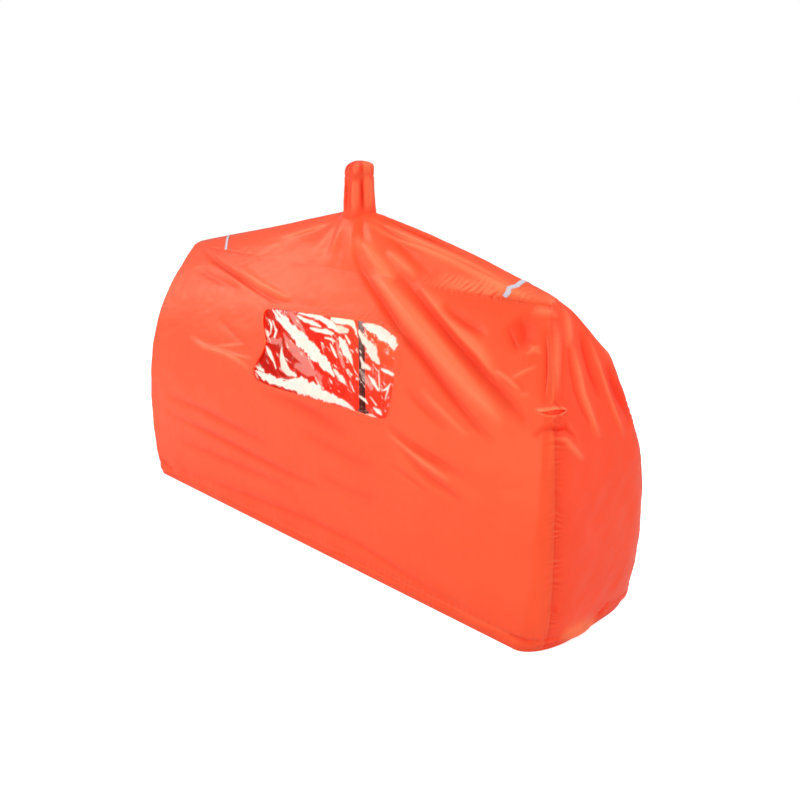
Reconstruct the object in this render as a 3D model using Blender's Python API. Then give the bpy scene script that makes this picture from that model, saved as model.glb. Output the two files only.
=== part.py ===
"""Two-person group shelter: a coated-cloth skin sewn from separate panels, drawn in round its hem,
with a clear window and a chimney vent, held up from inside by three telescopic poles.
Metres, +Z up. The origin is on the ground at the centre of the plan; X runs along the length
and -Y is the side with the window."""
import math

import bmesh
import bpy
import numpy as np
from mathutils import Vector
from mathutils.bvhtree import BVHTree

# Clearances and sheet thicknesses
GAP = 0.0003
SEWN_GAP = 0.0007
CLOTH = 0.0014
TAPE = 0.0009
FILM = 0.0008

# Plan and height of the skin
BASE_LENGTH = 1.456
BASE_WIDTH = 0.373
SEAM_HEIGHT = 0.674
RIDGE_LEFT = 0.674
RIDGE_RIGHT = 0.598
ROOF_HALF_WIDTH = 0.027
CORNER_LONG = 0.062
CORNER_DEEP = 0.128
TOP_CORNER = 0.012
END_BELLY = 0.021
SIDE_BELLY = 0.003
SEAM_BOW = 0.043
SEAM_LIFT = 0.011
RIDGE_RISE = 0.009
SEAM_FACING = (0.8, 0.9, 0.7)

# Shape of the walls: how late they lean in, and how quickly they swell above the hem
LEAN_POWER = 3.4
BOW_POWER = 5.0
SWELL_POWER = 14.0
CLOSE_POWER = 3.0
RIDGE_ARCH = 1.10
RIDGE_SKEW = 0.15

# Chimney vent
CHIMNEY_X = 0.019
CHIMNEY_RADIUS = 0.041
CHIMNEY_BASE = 0.816
CHIMNEY_DIP = 0.016
CHIMNEY_HEIGHT = 0.116
CHIMNEY_NECK = 0.0345
CHIMNEY_NECK_DROP = 0.030
CHIMNEY_MOUTH = 0.009
CHIMNEY_FOLDS = ((3, 0.0016, 0.4), (7, 0.0012, 1.9))
CHIMNEY_TUCK = 0.005
CHIMNEY_FOOT_GAP = 0.0009

# Hem channel and its cord
HEM_HEIGHT = 0.009
HEM_WALL = 0.0012
HEM_CORD = 0.0030
CHANNEL_SLIT = 0.0012
HEM_FACING_LEVEL = 0.2

# Window: centre on the wall (x, z) and outline about it
WINDOW_X = 0.033
WINDOW_Z = 0.480
WINDOW_OUTLINE = (
    (-0.245, 0.079), (-0.108, 0.095), (0.009, 0.100), (0.116, 0.106), (0.161, 0.106),
    (0.236, 0.082), (0.232, 0.060), (0.247, 0.005), (0.247, -0.074), (0.215, -0.089),
    (0.143, -0.090), (-0.066, -0.095), (-0.203, -0.095), (-0.244, -0.082),
    (-0.244, -0.057), (-0.217, 0.000),
)
WINDOW_MARGIN = 0.018
BINDING_SETBACK = 0.002
WINDOW_WIDTH = 0.492
WINDOW_TALL = 0.202

# Low vent at the near right corner seam
VENT_HEIGHT = 0.496
VENT_WIDTH = 0.050
VENT_OPEN = 0.011
VENT_HOOD = 0.018
HOOD_MARGIN = 0.003
VENT_HOOD_DEPTH = 0.010
HOOD_GAP = 0.0016
LENS_POINTS = 7
CUTTER_REACH = 0.6
HOOD_WIDEST = 0.76

# Tapes and patches
TAPE_WIDTH = 0.010
TAPE_INSET = 0.003
TAPE_GAP = 0.0011
TAPE_ROWS = 33
LEFT_TAPE_RIDGE = -0.528
LEFT_TAPE_SEAM = -0.480
RIGHT_TAPE_RIDGE = 0.512
RIGHT_TAPE_SEAM = 0.492
BINDING_WIDTH = 0.012
PATCH_RADIUS = 0.020
PATCH_HOLE = 0.003
SEAT_REACH = 0.340

# Poles
LEFT_POLE_X = -0.600
RIGHT_POLE_X = 0.520
GRIP_RADIUS = 0.0155
GRIP_LENGTH = 0.120
GRIP_SOCKET = 0.45
UPPER_RADIUS = 0.0085
TUBE_WALL = 0.0010
LOWER_LENGTH = 0.370
POLE_TRAVEL = 0.220
END_POLE_TRAVEL = 0.060
COLLAR_RADIUS = 0.0125
COLLAR_HEIGHT = 0.030
COLLAR_LIP = 0.004
LUG_HEIGHT = 0.005
LUG_ROOT = 0.0015
KNUCKLE_RADIUS = 0.0032
LEVER_CLEARANCE = 0.0006
LEVER_THICK = 0.0030
LEVER_WRAP = 125.0
PIN_RADIUS = 0.0013
BASKET_RADIUS = 0.024
BASKET_HEIGHT = 0.050
BASKET_TALL = 0.013
BASKET_HUB = 0.0026
STOP_CLEARANCE = 0.006
FOOT_RADIUS = 0.0110
FOOT_HEIGHT = 0.034
FOOT_SOLE = 0.008
FOOT_LIP = 0.0018

# Cord locks
LOCK_RADIUS = 0.0060
LOCK_LENGTH = 0.0180
BUTTON_RADIUS = 0.0045
BUTTON_LENGTH = 0.0120
BUTTON_TRAVEL = 0.0040
BUTTON_EDGE = 0.0008
BARREL_EDGE = 0.0015
HEM_LOCK_X = 0.060
CHIMNEY_CORD = 0.0024
CHANNEL_HEIGHT = 0.008

# How finely the sheets are divided
FRONT_COLUMNS = 20
REAR_COLUMNS = 12
END_COLUMNS = 6
WALL_ROWS = 13
ROW_BUNCHING = 0.06
ARC_COLUMNS = 4
ROOF_COLUMNS = 24
ROOF_ROWS = 5
CHIMNEY_COLUMNS = 24
CHIMNEY_ROWS = 8
CHIMNEY_CLOSE_ROWS = 4
STRAIGHT_SHARE = 0.9
END_STRAIGHT_SHARE = 0.6
ROOF_BUNCHING = 0.55
EDGE_TRIES = (1.0, 0.98, 0.95, 0.9)

# How soon folds fade out at the edges of a panel and round the window
SIDE_FADE = 0.06
END_FADE = 0.15
WINDOW_FADE = 0.12
# Main folds of the front wall: from (x, z), to (x, z), height, width
FRONT_FOLDS = (
    (-0.600, 0.655, -0.130, 0.590, 0.0045, 0.016),
    (-0.590, 0.625, -0.220, 0.560, -0.0030, 0.016),
    (-0.560, 0.455, -0.300, 0.430, 0.0030, 0.022),
    (0.060, 0.675, 0.270, 0.610, 0.0040, 0.014),
    (0.110, 0.680, 0.420, 0.560, 0.0045, 0.018),
    (0.310, 0.420, 0.520, 0.250, 0.0040, 0.026),
    (0.345, 0.660, 0.640, 0.500, 0.0050, 0.016),
    (0.330, 0.610, 0.600, 0.420, -0.0035, 0.022),
    (0.420, 0.480, 0.640, 0.330, 0.0035, 0.026),
    (-0.560, 0.120, 0.200, 0.110, 0.0025, 0.020),
    (-0.450, 0.190, 0.350, 0.180, -0.0020, 0.022),
)
FRONT_HOLLOW = (0.565, 0.596, -0.0080, 0.034)
# Main folds of the end walls: from (y, z), to (y, z), height, width
END_FOLDS = (
    (0.000, 0.640, 0.040, 0.420, 0.0040, 0.012),
    (-0.020, 0.630, -0.030, 0.400, -0.0035, 0.012),
    (0.020, 0.640, 0.100, 0.440, 0.0030, 0.012),
    (-0.090, 0.130, 0.060, 0.060, 0.0045, 0.022),
)
# Pleats of the roof run out from the chimney: direction in degrees, height, width in degrees
ROOF_PLEATS = (
    (-6.0, 0.0045, 2.0),
    (-11.0, -0.0035, 2.5),
    (-24.0, 0.0040, 7.0),
    (-150.0, 0.0035, 9.0),
    (-171.0, 0.0035, 3.0),
    (24.0, 0.0040, 7.0),
    (155.0, 0.0035, 9.0),
)

CLOTH_COLOUR = (0.98, 0.125, 0.045, 1.0)
DEEP_CLOTH = (0.85, 0.080, 0.035, 1.0)


def clear_scene():
    for item in list(bpy.data.objects):
        bpy.data.objects.remove(item, do_unlink=True)


def finish_material(name, colour, roughness, metallic=0.0):
    made = bpy.data.materials.new(name)
    made.use_nodes = True
    shader = made.node_tree.nodes["Principled BSDF"]
    shader.inputs["Base Color"].default_value = colour
    shader.inputs["Roughness"].default_value = roughness
    shader.inputs["Metallic"].default_value = metallic
    return made


def add_object(name, points, faces, material, smooth_angle=35.0):
    """A named mesh object from points and faces, shaded smooth below the given angle."""
    mesh = bpy.data.meshes.new(name)
    mesh.from_pydata([tuple(map(float, p)) for p in points], [], faces)
    mesh.validate()
    built = bmesh.new()
    built.from_mesh(mesh)
    bmesh.ops.recalc_face_normals(built, faces=built.faces)
    if built.calc_volume(signed=True) < 0.0:
        bmesh.ops.reverse_faces(built, faces=built.faces)
    built.to_mesh(mesh)
    built.free()
    mesh.shade_smooth()
    mesh.set_sharp_from_angle(angle=math.radians(smooth_angle))
    mesh.materials.append(material)
    made = bpy.data.objects.new(name, mesh)
    bpy.context.scene.collection.objects.link(made)
    return made


def shell_faces(rows, columns, closed):
    """Faces of a sheet with two sides: side 0 outside, side 1 inside, rims joined."""
    across = columns if closed else columns - 1
    side = rows * columns

    def at(layer, row, column):
        return layer * side + row * columns + column % columns

    faces = []
    for row in range(rows - 1):
        for column in range(across):
            corners = ((row, column), (row, column + 1), (row + 1, column + 1), (row + 1, column))
            faces.append([at(0, *c) for c in corners])
            faces.append([at(1, *c) for c in reversed(corners)])
    for column in range(across):
        for row in (0, rows - 1):
            faces.append([at(0, row, column), at(0, row, column + 1),
                          at(1, row, column + 1), at(1, row, column)])
    if not closed:
        for row in range(rows - 1):
            for column in (0, columns - 1):
                faces.append([at(0, row, column), at(0, row + 1, column),
                              at(1, row + 1, column), at(1, row, column)])
    return faces


def add_shell(name, outer, inner, material, closed=False):
    rows, columns = outer.shape[:2]
    points = np.concatenate([outer.reshape(-1, 3), inner.reshape(-1, 3)])
    return add_object(name, points, shell_faces(rows, columns, closed), material)


def add_turned(name, profile, sides, place, material, smooth_angle=40.0):
    """A solid turned about Z from (radius, height) pairs; a radius of zero closes on the axis."""
    points = []
    rings = []
    for radius, height in profile:
        if radius < 1e-9:
            rings.append([len(points)])
            points.append((0.0, 0.0, height))
            continue
        rings.append(list(range(len(points), len(points) + sides)))
        for step in range(sides):
            turn = 2.0 * math.pi * step / sides
            points.append((radius * math.cos(turn), radius * math.sin(turn), height))
    faces = []
    closed = len(rings[0]) > 1 and len(rings[-1]) > 1
    pairs = list(zip(rings, rings[1:]))
    if closed:
        pairs.append((rings[-1], rings[0]))
    for low, high in pairs:
        for step in range(sides):
            after = (step + 1) % sides
            if len(low) == 1:
                faces.append([low[0], high[step], high[after]])
            elif len(high) == 1:
                faces.append([low[step], low[after], high[0]])
            else:
                faces.append([low[step], low[after], high[after], high[step]])
    made = add_object(name, points, faces, material, smooth_angle)
    made.location = place
    return made


def add_prism(name, outline, low, high, material, origin=(0.0, 0.0)):
    """An upright prism over a plan outline, its origin at a plan place."""
    count = len(outline)
    plan = [(x - origin[0], y - origin[1]) for x, y in outline]
    points = [(x, y, 0.0) for x, y in plan] + [(x, y, high - low) for x, y in plan]
    faces = [list(range(count)), list(range(count, 2 * count))]
    for step in range(count):
        after = (step + 1) % count
        faces.append([step, after, count + after, count + step])
    made = add_object(name, points, faces, material)
    made.location = (origin[0], origin[1], low)
    return made


def as_guide(item):
    item.hide_render = True
    item.display_type = "WIRE"
    return item


def add_cutter(name, points, faces):
    return as_guide(add_object(name, points, faces, bpy.data.materials["cutting_guide"]))


def cut(target, cutter):
    step = target.modifiers.new("cut_" + cutter.name, "BOOLEAN")
    step.operation = "DIFFERENCE"
    step.solver = "EXACT"
    step.object = cutter


def join(target, tool):
    step = target.modifiers.new("join_" + tool.name, "BOOLEAN")
    step.operation = "UNION"
    step.solver = "EXACT"
    step.object = tool


# Walls as formulas


def swell(level):
    return (1.0 - (1.0 - level) ** SWELL_POWER) * (1.0 - level ** CLOSE_POWER)


def wall_reach(base, top, belly, level):
    """Distance of a wall from the middle plane at a level from 0, hem, to 1, roof seam."""
    return base + (top - base) * level ** LEAN_POWER + belly * swell(level)


def corner_long(level):
    """Reach of a corner's curve along the front and rear walls."""
    return CORNER_LONG + (TOP_CORNER - CORNER_LONG) * level


def corner_deep(level):
    """Reach of a corner's curve along the end walls."""
    return CORNER_DEEP + (TOP_CORNER - CORNER_DEEP) * level


def corner_span(level):
    """Length of wall passed for each radian about the corner's seam."""
    return np.hypot(corner_long(level), corner_deep(level)) / math.sqrt(2.0)


def wall_height(level):
    return HEM_HEIGHT + (SEAM_HEIGHT - HEM_HEIGHT) * level


def end_reach(level, right):
    top = RIDGE_RIGHT if right else RIDGE_LEFT
    return wall_reach(BASE_LENGTH / 2, top, END_BELLY, level)


def side_reach(level):
    return wall_reach(BASE_WIDTH / 2, ROOF_HALF_WIDTH, SIDE_BELLY, level)


def stacked(x, y, z):
    return np.stack(np.broadcast_arrays(x, y, z), -1)


def side_wall(across, level):
    """Front wall: across runs from -1 at the left corner seam to 1 at the right one."""
    across, level = np.asarray(across, float), np.asarray(level, float)
    long, deep = corner_long(level), corner_deep(level)
    left = long - end_reach(level, False)
    right = end_reach(level, True) - long
    flat = np.clip(across / STRAIGHT_SHARE, -1.0, 1.0)
    arch = (1.0 - flat ** 2) * level ** BOW_POWER
    turn = np.clip((abs(across) - STRAIGHT_SHARE) / (1.0 - STRAIGHT_SHARE), 0.0, 1.0) * math.pi / 4
    x = (left + right) / 2 + flat * (right - left) / 2 + np.sign(across) * long * np.sin(turn)
    y = -side_reach(level) - SEAM_BOW * arch + deep * (1.0 - np.cos(turn))
    return stacked(x, y, wall_height(level) + SEAM_LIFT * arch)


def end_wall(across, level, right=True):
    """End wall: across runs from -1 at the front corner seam to 1 at the rear one."""
    across, level = np.asarray(across, float), np.asarray(level, float)
    long, deep = corner_long(level), corner_deep(level)
    flat = np.clip(across / END_STRAIGHT_SHARE, -1.0, 1.0)
    spare = (abs(across) - END_STRAIGHT_SHARE) / (1.0 - END_STRAIGHT_SHARE)
    turn = np.clip(spare, 0.0, 1.0) * math.pi / 4
    x = end_reach(level, right) - long * (1.0 - np.cos(turn))
    y = flat * (side_reach(level) - deep) + np.sign(across) * deep * np.sin(turn)
    return stacked(x if right else -x, y, wall_height(level))


def corner_wall(turn, level, right=True):
    """Front corner by its angle, 0 where the side starts and 90 degrees where the end does."""
    turn, level = np.asarray(turn, float), np.asarray(level, float)
    long, deep = corner_long(level), corner_deep(level)
    x = end_reach(level, right) - long + long * np.sin(turn)
    y = -(side_reach(level) - deep) - deep * np.cos(turn)
    return stacked(x if right else -x, y, wall_height(level))


def roof_point(edge, along):
    """A point of the roof on the straight line from an edge point, 0, to the chimney, 1."""
    edge, along = np.asarray(edge, float), np.asarray(along, float)
    dx, dy = edge[..., 0] - CHIMNEY_X, edge[..., 1]
    reach = np.hypot(dx, dy)
    dx, dy = dx / reach, dy / reach
    middle = np.clip(1.0 - abs(edge[..., 1]) / ROOF_HALF_WIDTH, 0.0, 1.0)
    low = edge[..., 2] + RIDGE_RISE * middle
    high = CHIMNEY_BASE - CHIMNEY_DIP * dy ** 2
    out = reach + (CHIMNEY_RADIUS - reach) * along
    z = high - (high - low) * (1.0 - along) ** (RIDGE_ARCH + RIDGE_SKEW * dx)
    return stacked(CHIMNEY_X + dx * out, dy * out, z)


def crease(a, b, folds):
    """Height of a set of straight folds at wall places (a, b), faded along each fold."""
    total = np.zeros(np.broadcast(a, b).shape)
    for a0, b0, a1, b1, height, width in folds:
        length = math.hypot(a1 - a0, b1 - b0)
        da, db = (a1 - a0) / length, (b1 - b0) / length
        along = ((a - a0) * da + (b - b0) * db) / length
        off = (a - a0) * db - (b - b0) * da
        fade = np.clip(1.0 - (2.0 * along - 1.0) ** 4, 0.0, 1.0) * (abs(along - 0.5) < 0.5)
        total = total + height * fade * np.exp(-(off / width) ** 2)
    return total


def edge_fade(share, width):
    """0 at the edges of a sheet and 1 away from them, share running from 0 to 1."""
    near = np.minimum(share, 1.0 - share)
    return np.clip(near / width, 0.0, 1.0) ** 2 * (3.0 - 2.0 * np.clip(near / width, 0.0, 1.0))


def window_fade(x, z):
    """0 over the window and its margin, 1 beyond it, so that folds die out at its seam."""
    half_wide = WINDOW_WIDTH / 2 + 2 * WINDOW_MARGIN
    half_tall = WINDOW_TALL / 2 + 2 * WINDOW_MARGIN
    far = np.maximum(abs(x - WINDOW_X) / half_wide, abs(z - WINDOW_Z) / half_tall)
    return np.clip((far - 1.0) / WINDOW_FADE, 0.0, 1.0)


def front_lift(across, level, place):
    x, z = place[..., 0], place[..., 2]
    hollow_x, hollow_z, depth, width = FRONT_HOLLOW
    lift = crease(x, z, FRONT_FOLDS)
    lift = lift + depth * np.exp(-((x - hollow_x) ** 2 + (z - hollow_z) ** 2) / width ** 2)
    fade = edge_fade((across + 1.0) / 2.0, SIDE_FADE) * edge_fade(level, SIDE_FADE)
    return lift * fade * window_fade(x, z)


def rear_lift(across, level, place):
    fade = edge_fade((across + 1.0) / 2.0, SIDE_FADE) * edge_fade(level, SIDE_FADE)
    return crease(place[..., 0], place[..., 2], FRONT_FOLDS) * fade


def end_lift(across, level, place):
    fade = edge_fade((across + 1.0) / 2.0, END_FADE) * edge_fade(level, SIDE_FADE)
    return crease(place[..., 1], place[..., 2], END_FOLDS) * fade


def roof_lift(edge, along):
    heading = np.degrees(np.arctan2(edge[..., 1], edge[..., 0] - CHIMNEY_X))
    total = np.zeros(np.broadcast(heading, along).shape)
    for direction, height, width in ROOF_PLEATS:
        total = total + height * np.exp(-((heading - direction) / width) ** 2)
    return total * (4.0 * along * (1.0 - along)) ** 1.5


def unit(vectors):
    return vectors / np.linalg.norm(vectors, axis=-1, keepdims=True)


def grid_normals(surface, first, second):
    """Outward normals of surface(first, second) from small steps; the sign is set by the caller."""
    step = 1e-4
    along = surface(first + step, second) - surface(first - step, second)
    up = surface(first, np.minimum(second + step, 1.0)) - surface(first, np.maximum(second - step, 0.0))
    return unit(np.cross(along, up))


def side_normals(across, level):
    normals = grid_normals(side_wall, across, level)
    return normals * np.where(normals[..., 1:2] > 0, -1.0, 1.0)


def end_normals(across, level, right):
    def surface(a, b):
        return end_wall(a, b, right)

    normals = grid_normals(surface, across, level)
    sign = 1.0 if right else -1.0
    return normals * np.where(normals[..., 0:1] * sign < 0, -1.0, 1.0)


def corner_normals(turn, level, right=True):
    def surface(a, b):
        return corner_wall(a, b, right)

    normals = grid_normals(surface, turn, level)
    return normals * np.where(normals[..., 1:2] > 0, -1.0, 1.0)


def arc_stations(share, columns):
    """Stations from -1 to 1: even over the straight share, with ARC_COLUMNS in each corner."""
    arc = np.linspace(share, 1.0, ARC_COLUMNS + 1)
    return np.concatenate([-arc[::-1], np.linspace(-share, share, columns + 1)[1:-1], arc])


def wall_levels():
    """Rows shared by all walls and their tapes, closer together near the hem and the roof."""
    even = np.linspace(0.0, 1.0, WALL_ROWS + 1)
    return even - ROW_BUNCHING * np.sin(2.0 * math.pi * even)


def trimmed(surface, first, second, low_gap=GAP, high_gap=GAP / 2):
    """Sheet stations with the outer ones drawn in by half a gap, so that neighbours don't touch."""
    grid_first, grid_second = np.meshgrid(first, second)
    step = 1e-3
    side = surface(grid_first[:, -1], grid_second[:, -1])
    inside = surface(grid_first[:, -1] - step, grid_second[:, -1])
    draw = GAP / 2 * step / np.linalg.norm(side - inside, axis=-1)
    grid_first[:, -1] -= draw
    grid_first[:, 0] += draw
    foot = surface(grid_first[0], grid_second[0])
    above = surface(grid_first[0], grid_second[0] + step)
    grid_second[0] += low_gap * step / abs(above - foot)[..., 2]
    top = surface(grid_first[-1], grid_second[-1])
    below = surface(grid_first[-1], grid_second[-1] - step)
    grid_second[-1] -= high_gap * step / np.linalg.norm(top - below, axis=-1)
    return grid_first, grid_second


def outline_loop(level, front_across):
    """The skin's plan outline at a level, once round from the front left corner."""
    ends = arc_stations(END_STRAIGHT_SHARE, END_COLUMNS)
    front = side_wall(front_across, level)
    right = end_wall(ends, level, True)
    rear = front[::-1] * (1.0, -1.0, 1.0)
    left = end_wall(ends[::-1], level, False)
    return np.concatenate([front[:-1], right[:-1], rear[:-1], left[:-1]])


def roof_edge():
    """Edge points of the roof, closer together in front of and behind the chimney."""
    share = np.linspace(-1.0, 1.0, ROOF_COLUMNS + 1)
    spread = (1.0 - ROOF_BUNCHING) * share + ROOF_BUNCHING * share ** 3
    left, right = RIDGE_LEFT - TOP_CORNER, RIDGE_RIGHT - TOP_CORNER
    x = np.where(spread < 0, CHIMNEY_X + spread * (CHIMNEY_X + left),
                 CHIMNEY_X + spread * (right - CHIMNEY_X))
    flat = (x - (right - left) / 2) / ((right + left) / 2)
    arcs = np.linspace(STRAIGHT_SHARE, 1.0, ARC_COLUMNS + 1)
    across = np.concatenate([-arcs[::-1], (flat * STRAIGHT_SHARE)[1:-1], arcs])
    return outline_loop(1.0, across)


def roof_normals(edge, along):
    """Normals of the roof; at the chimney hole they are upright."""
    step = 1e-3
    ring = np.roll(edge, -1, 0) - np.roll(edge, 1, 0)
    ahead = roof_point(edge + ring * 0.05, along) - roof_point(edge - ring * 0.05, along)
    inward = roof_point(edge, np.minimum(along + step, 1.0))
    inward = inward - roof_point(edge, np.maximum(along - step, 0.0))
    normals = unit(np.cross(ahead, inward))
    return normals * np.where(normals[..., 2:3] < 0, -1.0, 1.0)


def seam_direction(places):
    """Offset direction at the roof seam, from the place alone, so that both sheets agree."""
    over = np.clip(abs(places[..., 1]) / ROOF_HALF_WIDTH, 0.0, 1.0)
    middle = (RIDGE_RIGHT - RIDGE_LEFT) / 2
    half = (RIDGE_RIGHT + RIDGE_LEFT) / 2
    tip = np.clip((abs(places[..., 0] - middle) - half + 2 * TOP_CORNER) / (2 * TOP_CORNER), 0, 1)
    along, across, up = SEAM_FACING
    return unit(stacked(np.sign(places[..., 0]) * tip * along,
                        np.sign(places[..., 1]) * over * across, up))


# Cloth panels


def add_wall(name, surface, normals, lift, first, material, mirror=1.0):
    """A wall panel between its hem and the roof seam; gives back its inner face."""
    across, level = trimmed(surface, first, wall_levels())
    base = surface(across, level)
    facing = normals(across, level)
    facing[-1] = seam_direction(base[-1])
    outer = base + facing * lift(across, level, base)[..., None]
    inner = outer - facing * CLOTH
    turn = np.array([1.0, mirror, 1.0])
    return add_shell(name, outer * turn, inner * turn, material), inner * turn


def drawn_in(loop, distance):
    """A closed plan loop, run anticlockwise from above, moved inwards by a distance."""
    ahead = np.roll(loop, -1, 0) - np.roll(loop, 1, 0)
    inward = unit(stacked(-ahead[:, 1], ahead[:, 0], 0.0))
    return loop + inward * distance


def roof_sheets():
    """Outer and inner faces of the roof, from its seam up to the chimney hole."""
    edge = roof_edge()
    along = np.linspace(0.0, 1.0, ROOF_ROWS + 1)[:, None] * np.ones(len(edge))
    inset = drawn_in(edge, GAP)
    base = roof_point(inset[None], along)
    facing = np.stack([roof_normals(edge, row) for row in along])
    facing[0] = seam_direction(base[0])
    facing[-1] = (0.0, 0.0, 1.0)
    outer = base + facing * roof_lift(edge[None], along)[..., None]
    return outer, outer - facing * CLOTH


def sheet_tree(sheet):
    """A closed band of points as a surface that heights can be read from."""
    rows, columns = sheet.shape[:2]
    quads = [(r * columns + c, r * columns + (c + 1) % columns,
              (r + 1) * columns + (c + 1) % columns, (r + 1) * columns + c)
             for r in range(rows - 1) for c in range(columns)]
    return BVHTree.FromPolygons([tuple(p) for p in sheet.reshape(-1, 3)], quads)


def sheet_height(tree, x, y):
    """Height of a sheet over the plan place (x, y), just inside it where it has ended."""
    for shrink in EDGE_TRIES:
        hit = tree.ray_cast(Vector((x, y * shrink, 2.0)), Vector((0.0, 0.0, -1.0)))[0]
        if hit is not None:
            return hit.z
    return SEAM_HEIGHT


def neck_share():
    return 1.0 - CHIMNEY_NECK_DROP / CHIMNEY_HEIGHT


def chimney_radius(turn, share):
    """Outer radius of the vent tube, share 0 at its foot and 1 at its gathered mouth."""
    neck = neck_share()
    foot = CHIMNEY_RADIUS - CHIMNEY_FOOT_GAP
    straight = foot + (CHIMNEY_NECK - foot) * np.clip(share / neck, 0.0, 1.0)
    close = np.clip((share - neck) / (1.0 - neck), 0.0, 1.0)
    radius = straight + (CHIMNEY_MOUTH - CHIMNEY_NECK) * close ** 2
    for count, depth, phase in CHIMNEY_FOLDS:
        radius = radius + depth * np.cos(count * turn + phase) * 4.0 * share * (1.0 - share)
    return radius


def add_chimney(material):
    turn = np.linspace(0.0, 2.0 * math.pi, CHIMNEY_COLUMNS + 1)[:-1]
    low_rows = np.linspace(0.0, neck_share(), CHIMNEY_ROWS - CHIMNEY_CLOSE_ROWS + 1)
    close_rows = np.linspace(neck_share(), 1.0, CHIMNEY_CLOSE_ROWS + 1)[1:]
    share = np.concatenate([low_rows, close_rows])[:, None]
    foot = CHIMNEY_BASE - CHIMNEY_DIP * np.sin(turn) ** 2 - CHIMNEY_TUCK
    top = CHIMNEY_BASE + CHIMNEY_HEIGHT
    z = foot + (top - foot) * share
    radius = chimney_radius(turn, share)
    outer = stacked(CHIMNEY_X + radius * np.cos(turn), radius * np.sin(turn), z)
    thin = radius - CLOTH
    under = np.clip((share - neck_share()) / (1.0 - neck_share()), 0.0, 1.0)
    inner = stacked(CHIMNEY_X + thin * np.cos(turn), thin * np.sin(turn), z - CLOTH * under)
    add_shell("chimney_vent", outer, inner, material, closed=True)
    return inner[CHIMNEY_ROWS - CHIMNEY_CLOSE_ROWS:]


def sweep(loop, inward, profile, closed):
    """Points and faces of a profile of (inward, up) pairs carried along plan stations."""
    count, sides = len(loop), len(profile)
    points = [loop[i] + inward[i] * a + np.array([0.0, 0.0, b])
              for i in range(count) for a, b in profile]
    faces = []
    for i in range(count if closed else count - 1):
        after = (i + 1) % count
        for side in range(sides):
            over = (side + 1) % sides
            faces.append([i * sides + side, i * sides + over,
                          after * sides + over, after * sides + side])
    if not closed:
        faces.append(list(range(sides)))
        faces.append([(count - 1) * sides + side for side in range(sides)])
    return points, faces


def ground_stations(share):
    """Stations of a hem run: its corners in ARC_COLUMNS each and one straight run between."""
    arc = np.linspace(share, 1.0, ARC_COLUMNS + 1)
    return np.concatenate([-arc[::-1], arc])


def on_ground(points):
    return points * np.array([1.0, 1.0, 0.0])


def hem_profile():
    """The folded channel: a square tube, slit along its inner top edge where it is stitched."""
    bore = HEM_CORD + 2 * GAP
    wide = bore + 2 * HEM_WALL
    return ((0.0, 0.0), (wide, 0.0), (wide, HEM_WALL + bore - CHANNEL_SLIT),
            (wide - HEM_WALL, HEM_WALL + bore - CHANNEL_SLIT), (wide - HEM_WALL, HEM_WALL),
            (HEM_WALL, HEM_WALL), (HEM_WALL, HEM_WALL + bore), (wide, HEM_WALL + bore),
            (wide, 2 * HEM_WALL + bore), (HEM_WALL, 2 * HEM_WALL + bore),
            (HEM_WALL, HEM_HEIGHT), (0.0, HEM_HEIGHT))


def hem_width():
    return HEM_CORD + 2 * GAP + 2 * HEM_WALL


def add_hem(name, surface, normals, share, material, mirror=1.0):
    stations = ground_stations(share)
    level = np.zeros(len(stations))
    ends = surface(stations, level)
    for tip, inner, way in ((0, 1, 1.0), (-1, -2, -1.0)):
        reach = np.linalg.norm(ends[tip] - ends[inner])
        stations[tip] += way * GAP / 2 * abs(stations[tip] - stations[inner]) / reach
    loop = on_ground(surface(stations, level))
    inward = unit(-on_ground(normals(stations, level + HEM_FACING_LEVEL)))
    points, faces = sweep(loop, inward, hem_profile(), False)
    turn = np.array([1.0, mirror, 1.0])
    return add_object(name, [p * turn for p in points], faces, material)


def ground_loop():
    """The whole plan outline on the ground, with its inward directions."""
    sides = ground_stations(STRAIGHT_SHARE)
    ends = ground_stations(END_STRAIGHT_SHARE)
    zero = np.zeros(len(sides))
    front = on_ground(side_wall(sides, zero))
    front_in = unit(-on_ground(side_normals(sides, zero + HEM_FACING_LEVEL)))
    right = on_ground(end_wall(ends, zero, True))
    right_in = unit(-on_ground(end_normals(ends, zero + HEM_FACING_LEVEL, True)))
    left = on_ground(end_wall(ends[::-1], zero, False))
    left_in = unit(-on_ground(end_normals(ends[::-1], zero + HEM_FACING_LEVEL, False)))
    flip = np.array([1.0, -1.0, 1.0])
    loop = np.concatenate([front[:-1], right[:-1], (front * flip)[::-1][:-1], left[:-1]])
    inward = np.concatenate([front_in[:-1], right_in[:-1], (front_in * flip)[::-1][:-1],
                             left_in[:-1]])
    return loop, inward


def add_ring_cord(name, loop, inward, inset, height, diameter, material, sides=6):
    radius = diameter / 2
    profile = [(inset + radius * math.cos(2 * math.pi * k / sides),
                height + radius * math.sin(2 * math.pi * k / sides)) for k in range(sides)]
    points, faces = sweep(loop, inward, profile, True)
    return add_object(name, points, faces, material, 70.0)


# Window, vent, tapes and patches


def between_rows(sheet, rows, levels):
    """Rows of a sheet read at other levels, straight between its own rows."""
    flat = sheet.reshape(len(rows), -1)
    read = np.stack([np.interp(levels, rows, flat[:, k]) for k in range(flat.shape[1])], -1)
    return read.reshape(len(levels), *sheet.shape[1:])


def cropped(values, middle, reach):
    """Positions in a rising list of values that cover a middle value and a reach each way."""
    steps = np.arange(len(values))
    low, high = np.interp((middle - reach, middle + reach), values, steps)
    return np.concatenate([[low], steps[(steps > low) & (steps < high)], [high]])


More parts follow.
